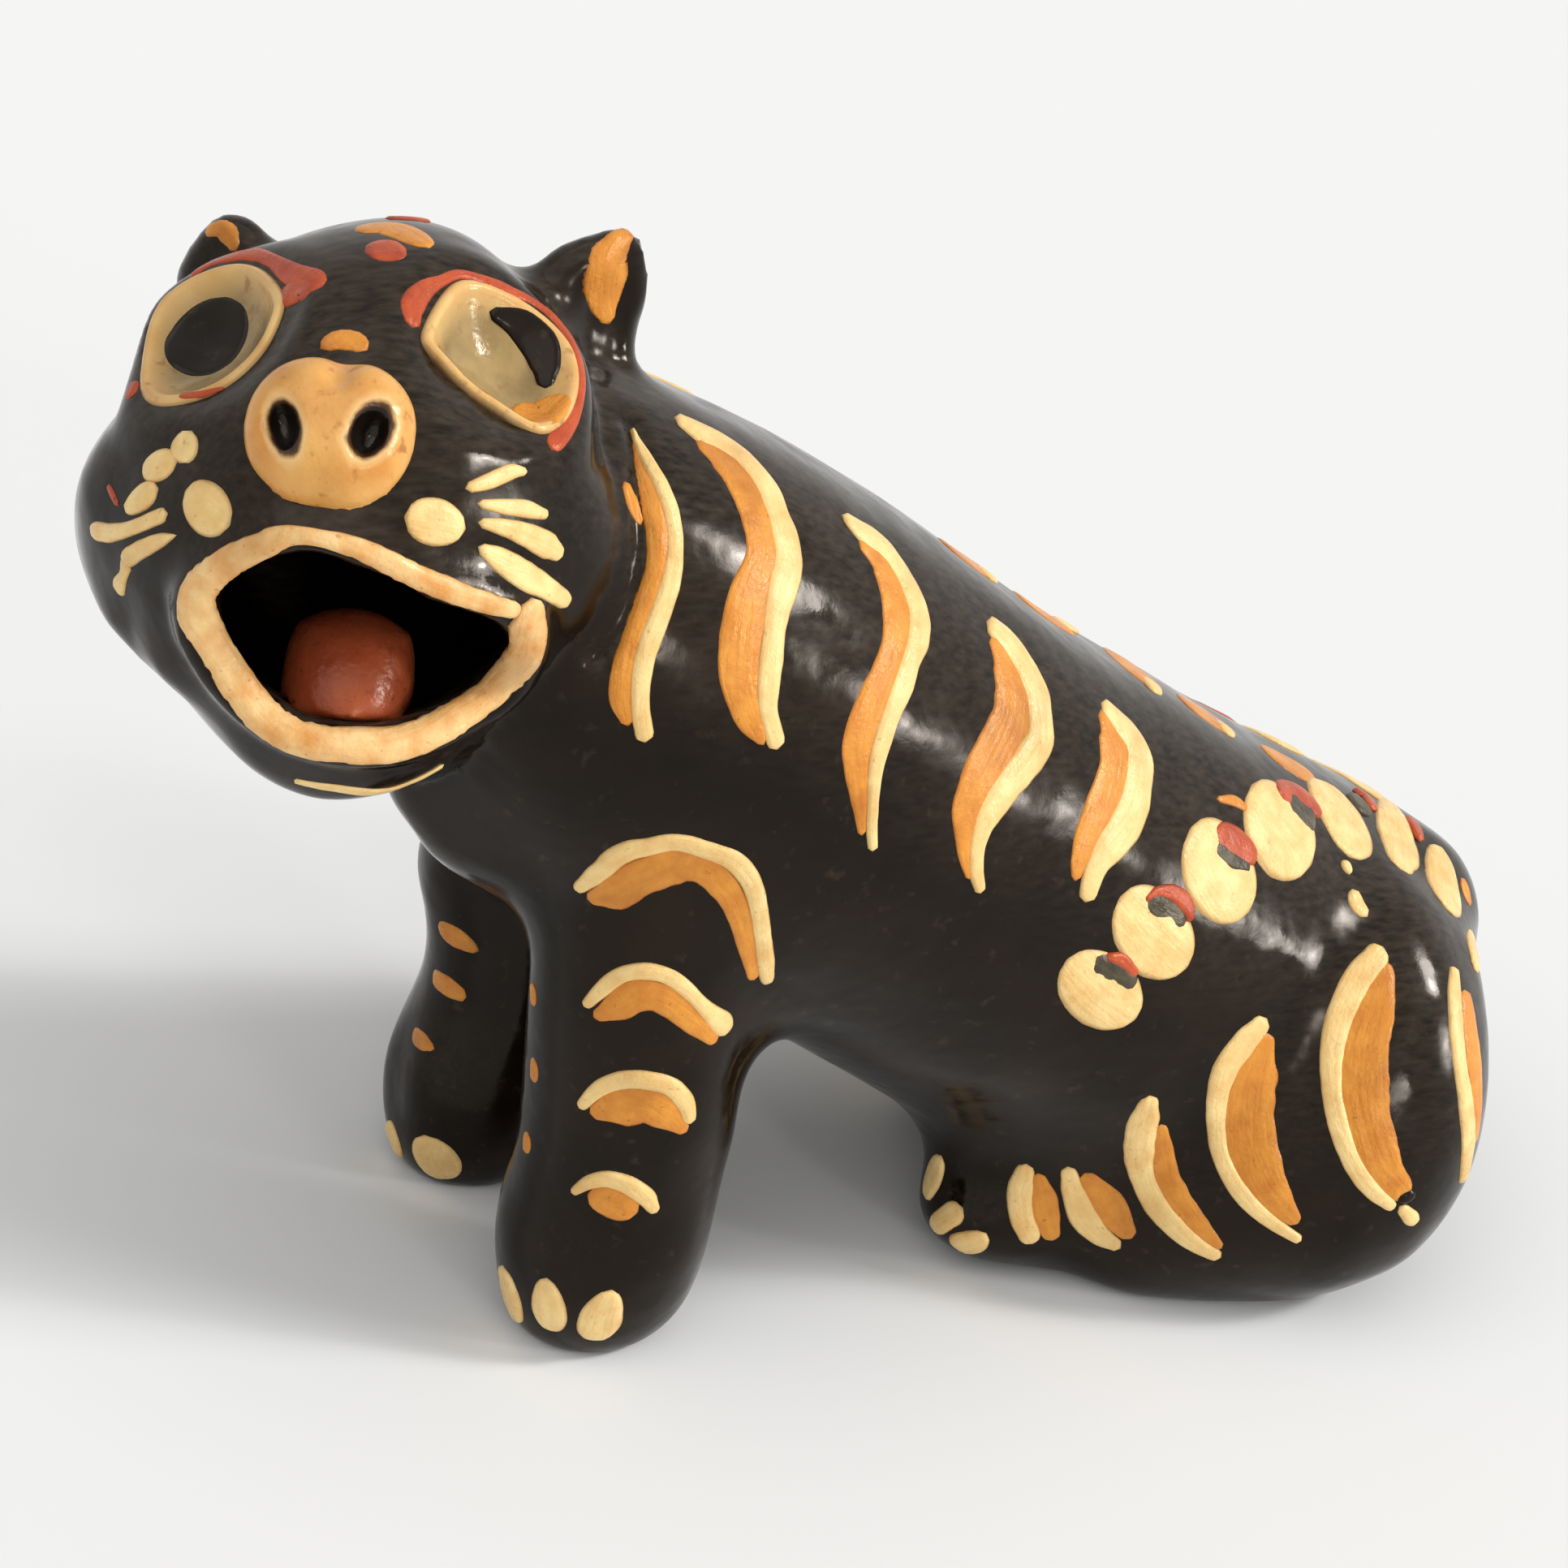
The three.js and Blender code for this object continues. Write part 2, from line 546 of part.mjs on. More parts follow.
// Nose pad: two pressed lobes that meet under a notch, with two poked nostrils
function nosePad() {
  const middle = facing(0, NOSE_UP);
  const place = outwards(middle, vec(1, 0, 0), middle.clone().multiplyScalar(headRadius(middle)));
  const shift = NOSE_HALF_WIDTH - NOSE_LOBE_HALF_WIDTH;
  const onFace = (piece, side, across, out) => {
    piece.rotateZ(-side * rad(NOSE_LOBE_LEAN)).translate(side * across, 0, out);
    return solid(piece.applyMatrix4(place));
  };
  const lobe = () => oval(NOSE_LOBE_HALF_WIDTH, NOSE_HALF_HEIGHT, NOSE_THICKNESS, SMALL_BALL_DETAIL);
  const nostril = () => oval(NOSTRIL_HALF_WIDTH, NOSTRIL_HALF_HEIGHT, NOSTRIL_DEPTH, SMALL_BALL_DETAIL - 1);
  let nose = onFace(lobe(), 1, shift, 0).add(onFace(lobe(), -1, shift, 0));
  for (const side of [-1, 1]) {
    nose = nose.subtract(onFace(nostril(), side, NOSTRIL_SPACING / 2, NOSE_THICKNESS));
  }
  return nose.subtract(solid(headBall(SLIP_GAP)));
}

// Tongue: a mound of clay on the floor of the mouth
function tongue() {
  const floor = -hollowRadius(facing(0, -TONGUE_ROOT_DOWN)) * Math.sin(rad(TONGUE_ROOT_DOWN));
  const mound = oval(TONGUE_HALF_WIDTH, TONGUE_HALF_LENGTH, TONGUE_HEIGHT, SMALL_BALL_DETAIL);
  const clay = solid(mound.translate(TONGUE_AHEAD * Math.tan(rad(MOUTH_SIDE)), -TONGUE_AHEAD, floor));
  const room = solid(headHollow(SLIP_GAP)).add(mouthCut(SLIP_GAP));
  return clay.intersect(room).subtract(lipCoil(SLIP_GAP));
}

// Ear: a pinched leaf with a thumb hollow on its outer face
function ear(side, length, splay) {
  const base = facing(side * EAR_SIDE, EAR_UP);
  const root = base.clone().multiplyScalar(headRadius(base) - WALL);
  const axis = vec(side * Math.tan(rad(splay)), -Math.tan(rad(EAR_NOD)), 1).normalize();
  const across = vec(Math.cos(rad(EAR_TURN)), side * Math.sin(rad(EAR_TURN)), 0);
  const tip = root.clone().addScaledVector(axis, length + WALL);
  const leaf = solid(limb({
    along: axis,
    sideways: across,
    spine: new THREE.LineCurve3(root, tip),
    halfWidth: profile(EAR_HALF_WIDTH, EAR_HALF_WIDTH, EAR_TIP_HALF_WIDTH),
    halfDepth: profile(EAR_HALF_THICKNESS, EAR_HALF_THICKNESS, EAR_HALF_THICKNESS / 2),
    rings: EAR_RINGS,
    sides: EAR_SIDES,
  }));
  const front = axis.clone().cross(across).negate();
  const thumb = oval(EAR_HALF_WIDTH / 2, length / 2, 2 * EAR_SCOOP, SMALL_BALL_DETAIL - 1);
  const pressed = tip.clone().addScaledVector(axis, -length / 2);
  pressed.addScaledVector(front, EAR_HALF_THICKNESS + EAR_SCOOP / 2);
  const scoop = solid(thumb.applyMatrix4(outwards(front, across, pressed)));
  const torsoBehind = solid(limb(torsoShape, SLIP_GAP).applyMatrix4(bodyToHead));
  return leaf.subtract(scoop).subtract(solid(headBall(SLIP_GAP))).subtract(torsoBehind);
}

// Tail: a tapered coil whose line is found on the outside of the rump and right haunch
function tail(torsoForm, rightHind) {
  const caster = new THREE.Raycaster();
  const points = [];
  for (let i = 0; i <= TAIL_STEPS; i += 1) {
    const share = i / TAIL_STEPS;
    const angle = rad(TAIL_SWEEP * share);
    const height = THREE.MathUtils.lerp(TAIL_START_HEIGHT, TAIL_END_HEIGHT, share);
    const inwards = vec(Math.sin(angle), -Math.cos(angle), 0);
    const from = vec(0, RUMP_SETBACK, height).addScaledVector(inwards, -TABLE_SIZE / 4);
    caster.set(from, inwards);
    points.push(caster.intersectObjects([torsoForm, rightHind])[0].point);
  }
  const radiusAt = profile(TAIL_RADIUS, TAIL_RADIUS, TAIL_TIP_RADIUS);
  const coil = solid(tube(new THREE.CatmullRomCurve3(points), radiusAt));
  const haunch = solid(limb(hindLegShape(-1), SLIP_GAP));
  return coil.subtract(torsoOuter(SLIP_GAP)).subtract(haunch).subtract(table);
}

// Assembly
const head = new THREE.Group();
head.position.copy(headCentre);
head.rotation.copy(headTurn);
head.add(pieceMesh('head_shell', headShell(), GLAZE));
head.add(pieceMesh('lip_ring', lipCoil(0), CREAM));
head.add(pieceMesh('tongue', tongue(), RED));
head.add(pieceMesh('nose_pad', nosePad(), OCHRE));
head.add(pieceMesh('left_eye_cup', eyeCup(EYES.left), TAN));
head.add(pieceMesh('right_eye_cup', eyeCup(EYES.right), TAN));
head.add(pieceMesh('left_ear', ear(1, LEFT_EAR_LENGTH, LEFT_EAR_SPLAY), GLAZE));
head.add(pieceMesh('right_ear', ear(-1, RIGHT_EAR_LENGTH, RIGHT_EAR_SPLAY), GLAZE));

const torsoForm = pieceMesh('torso_form', torsoOuter(0), GLAZE);
const rightHindLeg = pieceMesh('right_hind_leg', hindLeg(-1), GLAZE);

const tiger = new THREE.Group();
tiger.add(pieceMesh('left_body_shell', torsoHalf(1), GLAZE));
tiger.add(pieceMesh('right_body_shell', torsoHalf(-1), GLAZE));
tiger.add(pieceMesh('neck_collar', neckCollar(), GLAZE));
tiger.add(head, rightHindLeg);
tiger.add(pieceMesh('left_hind_leg', hindLeg(1), GLAZE));
tiger.add(pieceMesh('left_front_leg', frontLeg(1), GLAZE));
tiger.add(pieceMesh('right_front_leg', frontLeg(-1), GLAZE));
tiger.add(pieceMesh('tail', tail(torsoForm, rightHindLeg), GLAZE));

// Put the origin under the middle of the figure, on the table.
tiger.updateMatrixWorld(true);
const box = new THREE.Box3().setFromObject(tiger, true);
const middle = box.getCenter(vec(0, 0, 0));
tiger.position.set(-middle.x, -middle.y, -box.min.z);
tiger.updateMatrixWorld(true);

export default tiger;
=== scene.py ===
"""Looks of the seated tiger: one glazed clay skin, set-in face pieces and strokes painted in slip."""

import math
from contextlib import contextmanager

import bmesh
import bpy
import numpy as np
from mathutils import Matrix, Vector, noise
from mathutils.bvhtree import BVHTree
from mathutils.kdtree import KDTree


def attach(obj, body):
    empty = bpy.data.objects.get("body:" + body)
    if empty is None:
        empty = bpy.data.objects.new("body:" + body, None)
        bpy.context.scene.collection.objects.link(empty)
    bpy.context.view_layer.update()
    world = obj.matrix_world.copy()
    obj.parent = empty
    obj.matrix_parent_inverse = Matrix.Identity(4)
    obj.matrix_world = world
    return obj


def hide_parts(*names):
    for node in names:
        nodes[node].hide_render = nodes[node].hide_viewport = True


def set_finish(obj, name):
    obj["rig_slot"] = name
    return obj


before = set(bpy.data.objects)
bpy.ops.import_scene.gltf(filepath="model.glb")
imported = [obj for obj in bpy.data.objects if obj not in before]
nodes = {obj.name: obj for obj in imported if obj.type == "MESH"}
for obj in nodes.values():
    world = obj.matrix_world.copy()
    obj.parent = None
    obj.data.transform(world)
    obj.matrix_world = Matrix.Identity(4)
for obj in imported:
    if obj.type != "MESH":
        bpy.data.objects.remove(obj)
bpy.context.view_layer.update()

MM = 0.001

# Camera: viewing angle and framing of the photograph
PHOTO_SIZE = 1932  # pixels
FOCAL_LENGTH = 3652  # pixels
AZIMUTH = math.radians(64)  # from the front towards the animal's left
ELEVATION = math.radians(28)
ROLL = math.radians(10)
DISTANCE = 420 * MM
TARGET = Vector((-15.955, -0.75, 60)) * MM
SENSOR = 36  # millimetres
NEAREST_SHOWN = 10 * MM

# Head: its place and turn are those of the CAD head
HEAD_CENTRE = Vector((5.045, -71.35, 113.5)) * MM
HEAD_TURN = math.radians(65)
HEAD_LIFT = math.radians(22)
HEAD_TILT = math.radians(-3)
EYE_SIDE = math.radians(38)
EYE_UP = math.radians(36)

# Clay skin
MIDDLE_PLANE = 1.5447 * MM  # middle of the torso, across
SKIN_VOXEL = 1.0 * MM
SLIP_FILL = 0.4 * MM  # how far each piece swells to close the slip joints
FACE_VOXEL = 0.45 * MM
FACE_FILL = 0.1 * MM
WELD_GAP = 0.001 * MM
EVEN_STRENGTH = 0.5  # of a wipe that is the same all over
WIPE_STEPS = 70
BLEND_STEPS = 6  # wipes that blend one piece's firmness into the next
NOSE_WIPES = 8
TONGUE_WIPES = 14
LUMP_SIZE = 26 * MM
LUMP_HEIGHT = 0.55 * MM
DENT_SIZE = 9 * MM
DENT_HEIGHT = 0.14 * MM
NECK_PLUG = Vector((2.6, -45, 98)) * MM
NECK_PLUG_RADIUS = 13 * MM
NECK_PLUG_FINENESS = 3


# Frames and directions
def direction(around, above):
    """A direction turned from the front towards the animal's left, and raised."""
    level = math.cos(above)
    return Vector((math.sin(around) * level, -math.cos(around) * level, math.sin(above)))


def frame_at(place, right, up, out):
    """A frame at a place, with its X, Y and Z along three directions."""
    return Matrix.Translation(place) @ Matrix((right, up, out)).transposed().to_4x4()


def head_frame():
    turn = Matrix.Rotation(HEAD_TURN, 4, "Z") @ Matrix.Rotation(-HEAD_LIFT, 4, "X")
    return Matrix.Translation(HEAD_CENTRE) @ turn @ Matrix.Rotation(HEAD_TILT, 4, "Y")


def view_axes():
    """Right, up and back of the photograph's camera."""
    back = direction(AZIMUTH, ELEVATION)
    level = Vector((math.cos(AZIMUTH), math.sin(AZIMUTH), 0))
    upright = back.cross(level)
    right = level * math.cos(ROLL) + upright * math.sin(ROLL)
    up = upright * math.cos(ROLL) - level * math.sin(ROLL)
    return right, up, back


RIGHT, UP, BACK = view_axes()
EYE_POINT = TARGET + BACK * DISTANCE


def sight(pixel):
    """Direction from the camera through a pixel of the photograph."""
    across = (pixel[0] - PHOTO_SIZE / 2) / FOCAL_LENGTH
    down = (pixel[1] - PHOTO_SIZE / 2) / FOCAL_LENGTH
    return (RIGHT * across - UP * down - BACK).normalized()


def pixel_of(place):
    """Where the photograph shows a place."""
    ray = place - EYE_POINT
    scale = FOCAL_LENGTH / -ray.dot(BACK)
    return PHOTO_SIZE / 2 + ray.dot(RIGHT) * scale, PHOTO_SIZE / 2 - ray.dot(UP) * scale


def make_camera():
    camera = bpy.data.cameras.new("camera")
    camera.sensor_fit = "HORIZONTAL"
    camera.sensor_width = SENSOR
    camera.lens = SENSOR * FOCAL_LENGTH / PHOTO_SIZE
    camera.clip_start = NEAREST_SHOWN
    placed = linked("camera", camera)
    placed.matrix_world = frame_at(EYE_POINT, RIGHT, UP, BACK)
    bpy.context.scene.camera = placed


# Objects and meshes
def linked(name, data):
    """A new object in the scene."""
    made = bpy.data.objects.new(name, data)
    bpy.context.collection.objects.link(made)
    return made


def new_piece(name, mesh, slot, replaced=()):
    """An object that rides on the one body, takes its finish from a slot and may stand for CAD nodes."""
    piece = linked(name, mesh)
    mesh.shade_smooth()
    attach(piece, "root")
    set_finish(piece, slot)
    if replaced:
        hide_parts(*replaced)
    return piece


@contextmanager
def opened(mesh):
    """A mesh opened for changes, and closed again after them."""
    bag = bmesh.new()
    bag.from_mesh(mesh)
    yield bag
    bag.to_mesh(mesh)
    bag.free()


def swollen(sources, push, plugged=False):
    """The CAD meshes of some nodes in one, each swollen by push, with the neck plugged or not."""
    mesh = bpy.data.meshes.new("swollen")
    with opened(mesh) as bag:
        for source in sources:
            bag.from_mesh(nodes[source].data)
        bmesh.ops.remove_doubles(bag, verts=bag.verts, dist=WELD_GAP)
        bag.normal_update()
        moved = [vert.co + vert.normal * push for vert in bag.verts]
        for vert, place in zip(bag.verts, moved):
            vert.co = place
        if plugged:
            ball = Matrix.Translation(NECK_PLUG)
            bmesh.ops.create_icosphere(
                bag, subdivisions=NECK_PLUG_FINENESS, radius=NECK_PLUG_RADIUS, matrix=ball
            )
    return mesh


def redrawn(mesh, voxel):
    """The outside of a mesh, drawn again with even faces."""
    holder = linked("holder", mesh)
    remesh = holder.modifiers.new("voxels", "REMESH")
    remesh.mode = "VOXEL"
    remesh.voxel_size = voxel
    graph = bpy.context.evaluated_depsgraph_get()
    even = bpy.data.meshes.new_from_object(holder.evaluated_get(graph))
    bpy.data.objects.remove(holder)
    return even


def keep_outside(mesh):
    """Drops closed hollows that nothing can see into."""
    with opened(mesh) as bag:
        outermost = max(bag.verts, key=lambda vert: vert.co.y)
        kept = {outermost}
        open_ends = [outermost]
        while open_ends:
            vert = open_ends.pop()
            fresh = [edge.other_vert(vert) for edge in vert.link_edges]
            fresh = [other for other in fresh if other not in kept]
            kept.update(fresh)
            open_ends.extend(fresh)
        hidden = [vert for vert in bag.verts if vert not in kept]
        bmesh.ops.delete(bag, geom=hidden, context="VERTS")


def keep_values(mesh, name, values):
    """Stores one number for each vertex, for a material to read."""
    mesh.attributes.new(name, "FLOAT", "POINT").data.foreach_set("value", values)


def built(name, verts, faces, **values):
    """A mesh with its faces turned outwards, and numbers kept for its vertices."""
    mesh = bpy.data.meshes.new(name)
    mesh.from_pydata(verts, [], faces)
    with opened(mesh) as bag:
        bmesh.ops.recalc_face_normals(bag, faces=bag.faces)
    for kind, numbers in values.items():
        keep_values(mesh, kind, numbers)
    return mesh


def belt_faces(start, rows, loop):
    """Faces between rows of vertices that each run round in a loop."""
    faces = []
    for row in range(rows - 1):
        one, two = start + row * loop, start + (row + 1) * loop
        for number in range(loop):
            beside = (number + 1) % loop
            faces.append((one + number, two + number, two + beside, one + beside))
    return faces


def places(mesh):
    flat = np.empty(3 * len(mesh.vertices))
    mesh.vertices.foreach_get("co", flat)
    return flat.reshape(-1, 3)


def set_places(mesh, points):
    mesh.vertices.foreach_set("co", points.ravel())
    mesh.update()


def grounded(points):
    """Points with none below the table."""
    return np.maximum(points, (-np.inf, -np.inf, 0))


def neighbour_mean(mesh):
    """A function that gives the mean of each vertex's neighbours."""
    pairs = np.empty(2 * len(mesh.edges), dtype=np.int64)
    mesh.edges.foreach_get("vertices", pairs)
    first, second = pairs.reshape(-1, 2).T
    count = len(mesh.vertices)
    degree = np.bincount(first, minlength=count) + np.bincount(second, minlength=count)

    def total(column):
        return np.bincount(first, column[second], count) + np.bincount(second, column[first], count)

    def mean(values):
        return np.stack([total(column) for column in values.T], axis=1) / degree[:, None]

    return mean


def wiped(points, mean, steps, strength=EVEN_STRENGTH):
    """Points after steps of wiping, each moved towards its neighbours by its own strength."""
    weights = np.broadcast_to(strength, len(points))[:, None]
    for _ in range(steps):
        points = points + (mean(points) - points) * weights
    return points


def lumpy(mesh):
    """Gives a surface the lumps and dents of hand-pressed clay."""
    moved = []
    for vert in mesh.vertices:
        lump = LUMP_HEIGHT * noise.noise(vert.co / LUMP_SIZE)
        dent = DENT_HEIGHT * noise.noise(vert.co / DENT_SIZE)
        moved.append(vert.co + vert.normal * (lump + dent))
    set_places(mesh, np.array(moved))


# Skin: how firmly each piece is wiped smooth, and how far the slip is wiped round each joint
FIRMNESS = {
    "left_body_shell": 0.6,
    "right_body_shell": 0.6,
    "neck_collar": 0.1,
    "head_shell": 0.16,
    "left_ear": 0.06,
    "right_ear": 0.06,
    "left_front_leg": 0.25,
    "right_front_leg": 0.25,
    "left_hind_leg": 0.4,
    "right_hind_leg": 0.4,
    "tail": 0.1,
}
JOINT_REACH = [
    ("torso", "left_front_leg", 15),
    ("torso", "right_front_leg", 15),
    ("torso", "left_hind_leg", 20),
    ("torso", "right_hind_leg", 20),
    ("left_hind_leg", "right_hind_leg", 8),
    ("left_body_shell", "right_body_shell", 8),
    ("head_shell", "left_ear", 5),
    ("head_shell", "right_ear", 5),
    ("torso", "tail", 2),
    ("right_hind_leg", "tail", 2),
]
JOINT_STRENGTH = 0.7
JOINT_CORE = 0.2  # share of the reach that is wiped fully
CREASE_REACH = [("torso", "head_shell", 9)]
CREASE_STRENGTH = 0.04
SET_IN = ("left_eye_cup", "right_eye_cup", "lip_ring")  # each has a drawn piece over it


def gaps_to_nodes(mesh):
    """How far each vertex of a mesh is from each CAD node of the skin, and from the whole torso."""
    points = [vert.co for vert in mesh.vertices]
    gaps = {}
    for name in FIRMNESS:
        solid = nodes[name].data
        corners = [vert.co for vert in solid.vertices]
        tree = BVHTree.FromPolygons(corners, [face.vertices for face in solid.polygons])
        gaps[name] = np.array([tree.find_nearest(point)[3] for point in points])
    gaps["torso"] = np.minimum(gaps["left_body_shell"], gaps["right_body_shell"])
    return gaps


def joint_closeness(gaps, joints):
    """1 on a slip joint, falling to 0 just past the end of its reach."""
    closeness = 0
    for one, other, reach in joints:
        far = np.maximum(gaps[one], gaps[other]) / (reach * MM)
        closeness = np.maximum(closeness, np.clip(1 + JOINT_CORE - far, 0, 1))
    return closeness


def skin_strength(gaps, closeness, mean):
    """How strongly each vertex of the skin is wiped."""
    owner = np.argmin([gaps[name] for name in FIRMNESS], axis=0)
    firmness = np.array(list(FIRMNESS.values()))[owner]
    crease = joint_closeness(gaps, CREASE_REACH)
    strength = np.maximum(firmness, JOINT_STRENGTH * closeness)
    strength = strength * (1 - crease) + CREASE_STRENGTH * crease
    return wiped(strength[:, None], mean, BLEND_STEPS)[:, 0]


def clay_skin():
    """One skin over the luted clay: joints wiped away, a little lumpy, and flat on the table."""
    voxel = SKIN_VOXEL
    mesh = redrawn(swollen([*FIRMNESS, *SET_IN], SLIP_FILL, plugged=True), voxel)
    keep_outside(mesh)
    start = places(mesh)
    mean = neighbour_mean(mesh)
    gaps = gaps_to_nodes(mesh)
    closeness = joint_closeness(gaps, JOINT_REACH)
    strength = skin_strength(gaps, closeness, mean)
    smooth = wiped(start, mean, WIPE_STEPS, strength)
    lost = wiped(start - smooth, mean, WIPE_STEPS, strength)
    set_places(mesh, smooth + lost * (1 - closeness)[:, None])
    lumpy(mesh)
    set_places(mesh, grounded(places(mesh)))
    return new_piece("glazed_skin", mesh, "black_glaze", FIRMNESS)


def face_copy(name, slot, node, wipes):
    """A softly wiped copy of one small CAD node."""
    mesh = redrawn(swollen([node], FACE_FILL), FACE_VOXEL)
    set_places(mesh, wiped(places(mesh), neighbour_mean(mesh), wipes))
    return new_piece(name, mesh, slot, [node])


# Touches: a line of pixels along which the clay is raised or pressed, its reach and height in millimetres
THROAT = ([(520, 985), (530, 1020), (540, 1060)], 10, 3.4)
CHEEK = ([(150, 765), (180, 798), (205, 820)], 5, 1.3)
CHEEKBONE = ([(130, 555), (112, 590)], 5, 0.8)
TEMPLE = ([(165, 470), (155, 505)], 6, -0.3)
CHIN = ([(320, 945), (390, 975)], 5, 0.5)
EAR_BACK = ([(799, 325), (802, 360), (797, 400)], 4, -1.3)
SHIN = ([(838, 1560), (835, 1610)], 7, 0.8)
RUMP = ([(1798, 1070), (1822, 1130), (1830, 1200)], 10, 2.0)
FAR_SHIN = ([(484, 1300), (477, 1350)], 6, -1.4)
CREASE = (
    [(779, 520), (786, 570), (791, 620), (792, 670), (785, 720), (765, 770), (735, 810)], 1.3, -1.0
)
EAR_FOLD = ([(781, 322), (775, 360), (769, 400), (764, 440)], 1.8, -0.9)
SKIN_TOUCHES = [
    THROAT, CHEEK, CHEEKBONE, TEMPLE, CHIN, EAR_BACK, SHIN, RUMP, FAR_SHIN, CREASE, EAR_FOLD,
]
NOSE_NOTCH = ([(420, 440), (418, 462)], 1.6, -1.0)
NOSE_FLANK = ([(330, 600), (390, 625), (440, 622), (480, 595), (500, 550)], 3, -0.6)
NOSE_TOUCHES = [NOSE_NOTCH, NOSE_FLANK]
TOUCH_STEP = 0.5 * MM
TOUCH_END = 3  # reaches from its line to where a touch ends

# Rubs: a line of pixels along which a fold is rubbed away, its reach in millimetres and the wipes
KNEE_FOLD = ([(1165, 1415), (1210, 1420), (1260, 1422), (1310, 1415)], 6, 260)
KNEE_TOP = ([(1185, 1370), (1205, 1374), (1250, 1378)], 6, 400)
ARMPIT = ([(938, 1280), (946, 1296)], 7, 250)
RUMP_FOLD = ([(1806, 1165), (1808, 1185)], 6, 200)
SKIN_RUBS = [KNEE_FOLD, KNEE_TOP, ARMPIT, RUMP_FOLD]
EYE_BAG = ([(524, 452), (543, 486), (577, 515), (620, 532)], 2.2, 60)
EYE_RUBS = [EYE_BAG]
RUB_STRENGTH = 0.9
POLISH_STEPS = 3


def along_pixels(canvas, pixels):
    """Close places along a line of pixels, with the normals there, and a tree to find the nearest."""
    spots = [canvas.seen(pixel) for pixel in pixels]
    line = [spots[0]]
    for (start, out), (end, _) in zip(spots, spots[1:]):
        count = math.ceil((end - start).length / TOUCH_STEP)
        line += [(start.lerp(end, (step + 1) / count), out) for step in range(count)]
    tree = KDTree(len(line))
    for index, (place, _) in enumerate(line):
        tree.insert(place, index)
    tree.balance()
    return line, tree


def rubbed(piece, rubs):
    """Rubs the given folds of a piece away."""
    canvas = Canvas(piece)
    mean = neighbour_mean(piece.data)
    points = places(piece.data)
    for pixels, reach, wipes in rubs:
        _, tree = along_pixels(canvas, pixels)
        gaps = np.array([tree.find(point)[2] for point in points])
        points = wiped(points, mean, wipes, RUB_STRENGTH * np.exp(-(gaps / (reach * MM)) ** 2))
    set_places(piece.data, points)


def polished(piece):
    """Wipes all of a piece a little, and keeps it above the table."""
    points = wiped(places(piece.data), neighbour_mean(piece.data), POLISH_STEPS)
    set_places(piece.data, grounded(points))


def touched(piece, touches):
    """Works a piece over with the touches given for it."""
    canvas = Canvas(piece)
    for pixels, reach, height in touches:
        line, tree = along_pixels(canvas, pixels)
        moved = places(piece.data)
        for vert in piece.data.vertices:
            _, index, gap = tree.find(vert.co)
            share = gap / (reach * MM)
            if share < TOUCH_END and vert.normal.dot(line[index][1]) > 0:
                moved[vert.index] += np.array(vert.normal) * (height * MM * math.exp(-share**2))
        set_places(piece.data, moved)


# Tongue: a mound that is squared off
MOST_BROADER = 1.6
ROUND_POWER = 2
SQUARE_POWER = 4
TIP_LEVEL = 1.001  # just over the top, which so keeps a width


def squared_off(piece):
    """Makes a mound as broad above as below."""
    head = head_frame()
    points = [head.inverted() @ vert.co for vert in piece.data.vertices]
    low, high = min(point.z for point in points), max(point.z for point in points)
    middle = sum(point.x for point in points) / len(points)
    for vert, point in zip(piece.data.vertices, points):
        rise = (point.z - low) / (high - low)
        square_width = (TIP_LEVEL - rise**SQUARE_POWER) ** (1 / SQUARE_POWER)
        round_width = (TIP_LEVEL - rise**ROUND_POWER) ** (1 / ROUND_POWER)
        point.x = middle + (point.x - middle) * min(square_width / round_width, MOST_BROADER)
        vert.co = head @ point
    piece.data.update()


# Nostrils: middle, half sizes and lean of each oval, in pixels and degrees
NOSTRILS = [((351, 527), (20, 36), -11), ((457, 529), (26, 37), 28)]


def nostril_share(place):
    """How far a place of the nose is from the middle of the nearer nostril, whose edge is at 1."""
    x, y = pixel_of(place)
    shares = []
    for (middle_x, middle_y), (half_x, half_y), lean in NOSTRILS:
        turn = math.radians(lean)
        across = (x - middle_x) * math.cos(turn) + (y - middle_y) * math.sin(turn)
        down = (y - middle_y) * math.cos(turn) - (x - middle_x) * math.sin(turn)
        shares.append(math.hypot(across / half_x, down / half_y))
    return min(shares)


def mark_nostrils(nose):
    keep_values(nose.data, "nostril", [nostril_share(vert.co) for vert in nose.data.vertices])


# Eyes: thumb-pressed cups, drawn from rim to middle on the plane of the CAD cup's rim
EYE_PLANE_DROP = 1.3 * MM  # from the top of the CAD rim to the plane of the drawn eye
EYE_RIM_HEIGHT = 0.7 * MM
EYE_CUP_DEPTH = 3.4 * MM
EYE_BED = 0.6 * MM  # how far the skin lies under the eye
EYE_BED_DEPTH = 8 * MM  # how deep under its plane the skin is moved
EYE_ROOM = 30 * MM  # no skin further from the eye is moved
EYE_RINGS = 32
EYE_SPOKES = 96
EDGE_ROUNDING = 12  # times the drawn outline is rounded off
RIM_SHARE = 0.84  # where the cup ends and the rim begins
RIM_CREST = 0.93
BURIED_SHARE = 1.14  # outer edge of the rim, buried in the head
BED_SHARE = 0.94
COLLAR_SHARE = 1.7  # how far out the skin rises to meet the rim
COLLAR_HEIGHT = 0.1 * MM
RIGHT_EYE_OUTLINE = [
    (174, 464), (186, 393), (211, 361), (247, 339), (292, 325), (325, 333), (345, 355), (352, 375),
    (342, 405), (327, 434), (301, 462), (265, 487), (220, 500), (190, 500), (176, 487),
]
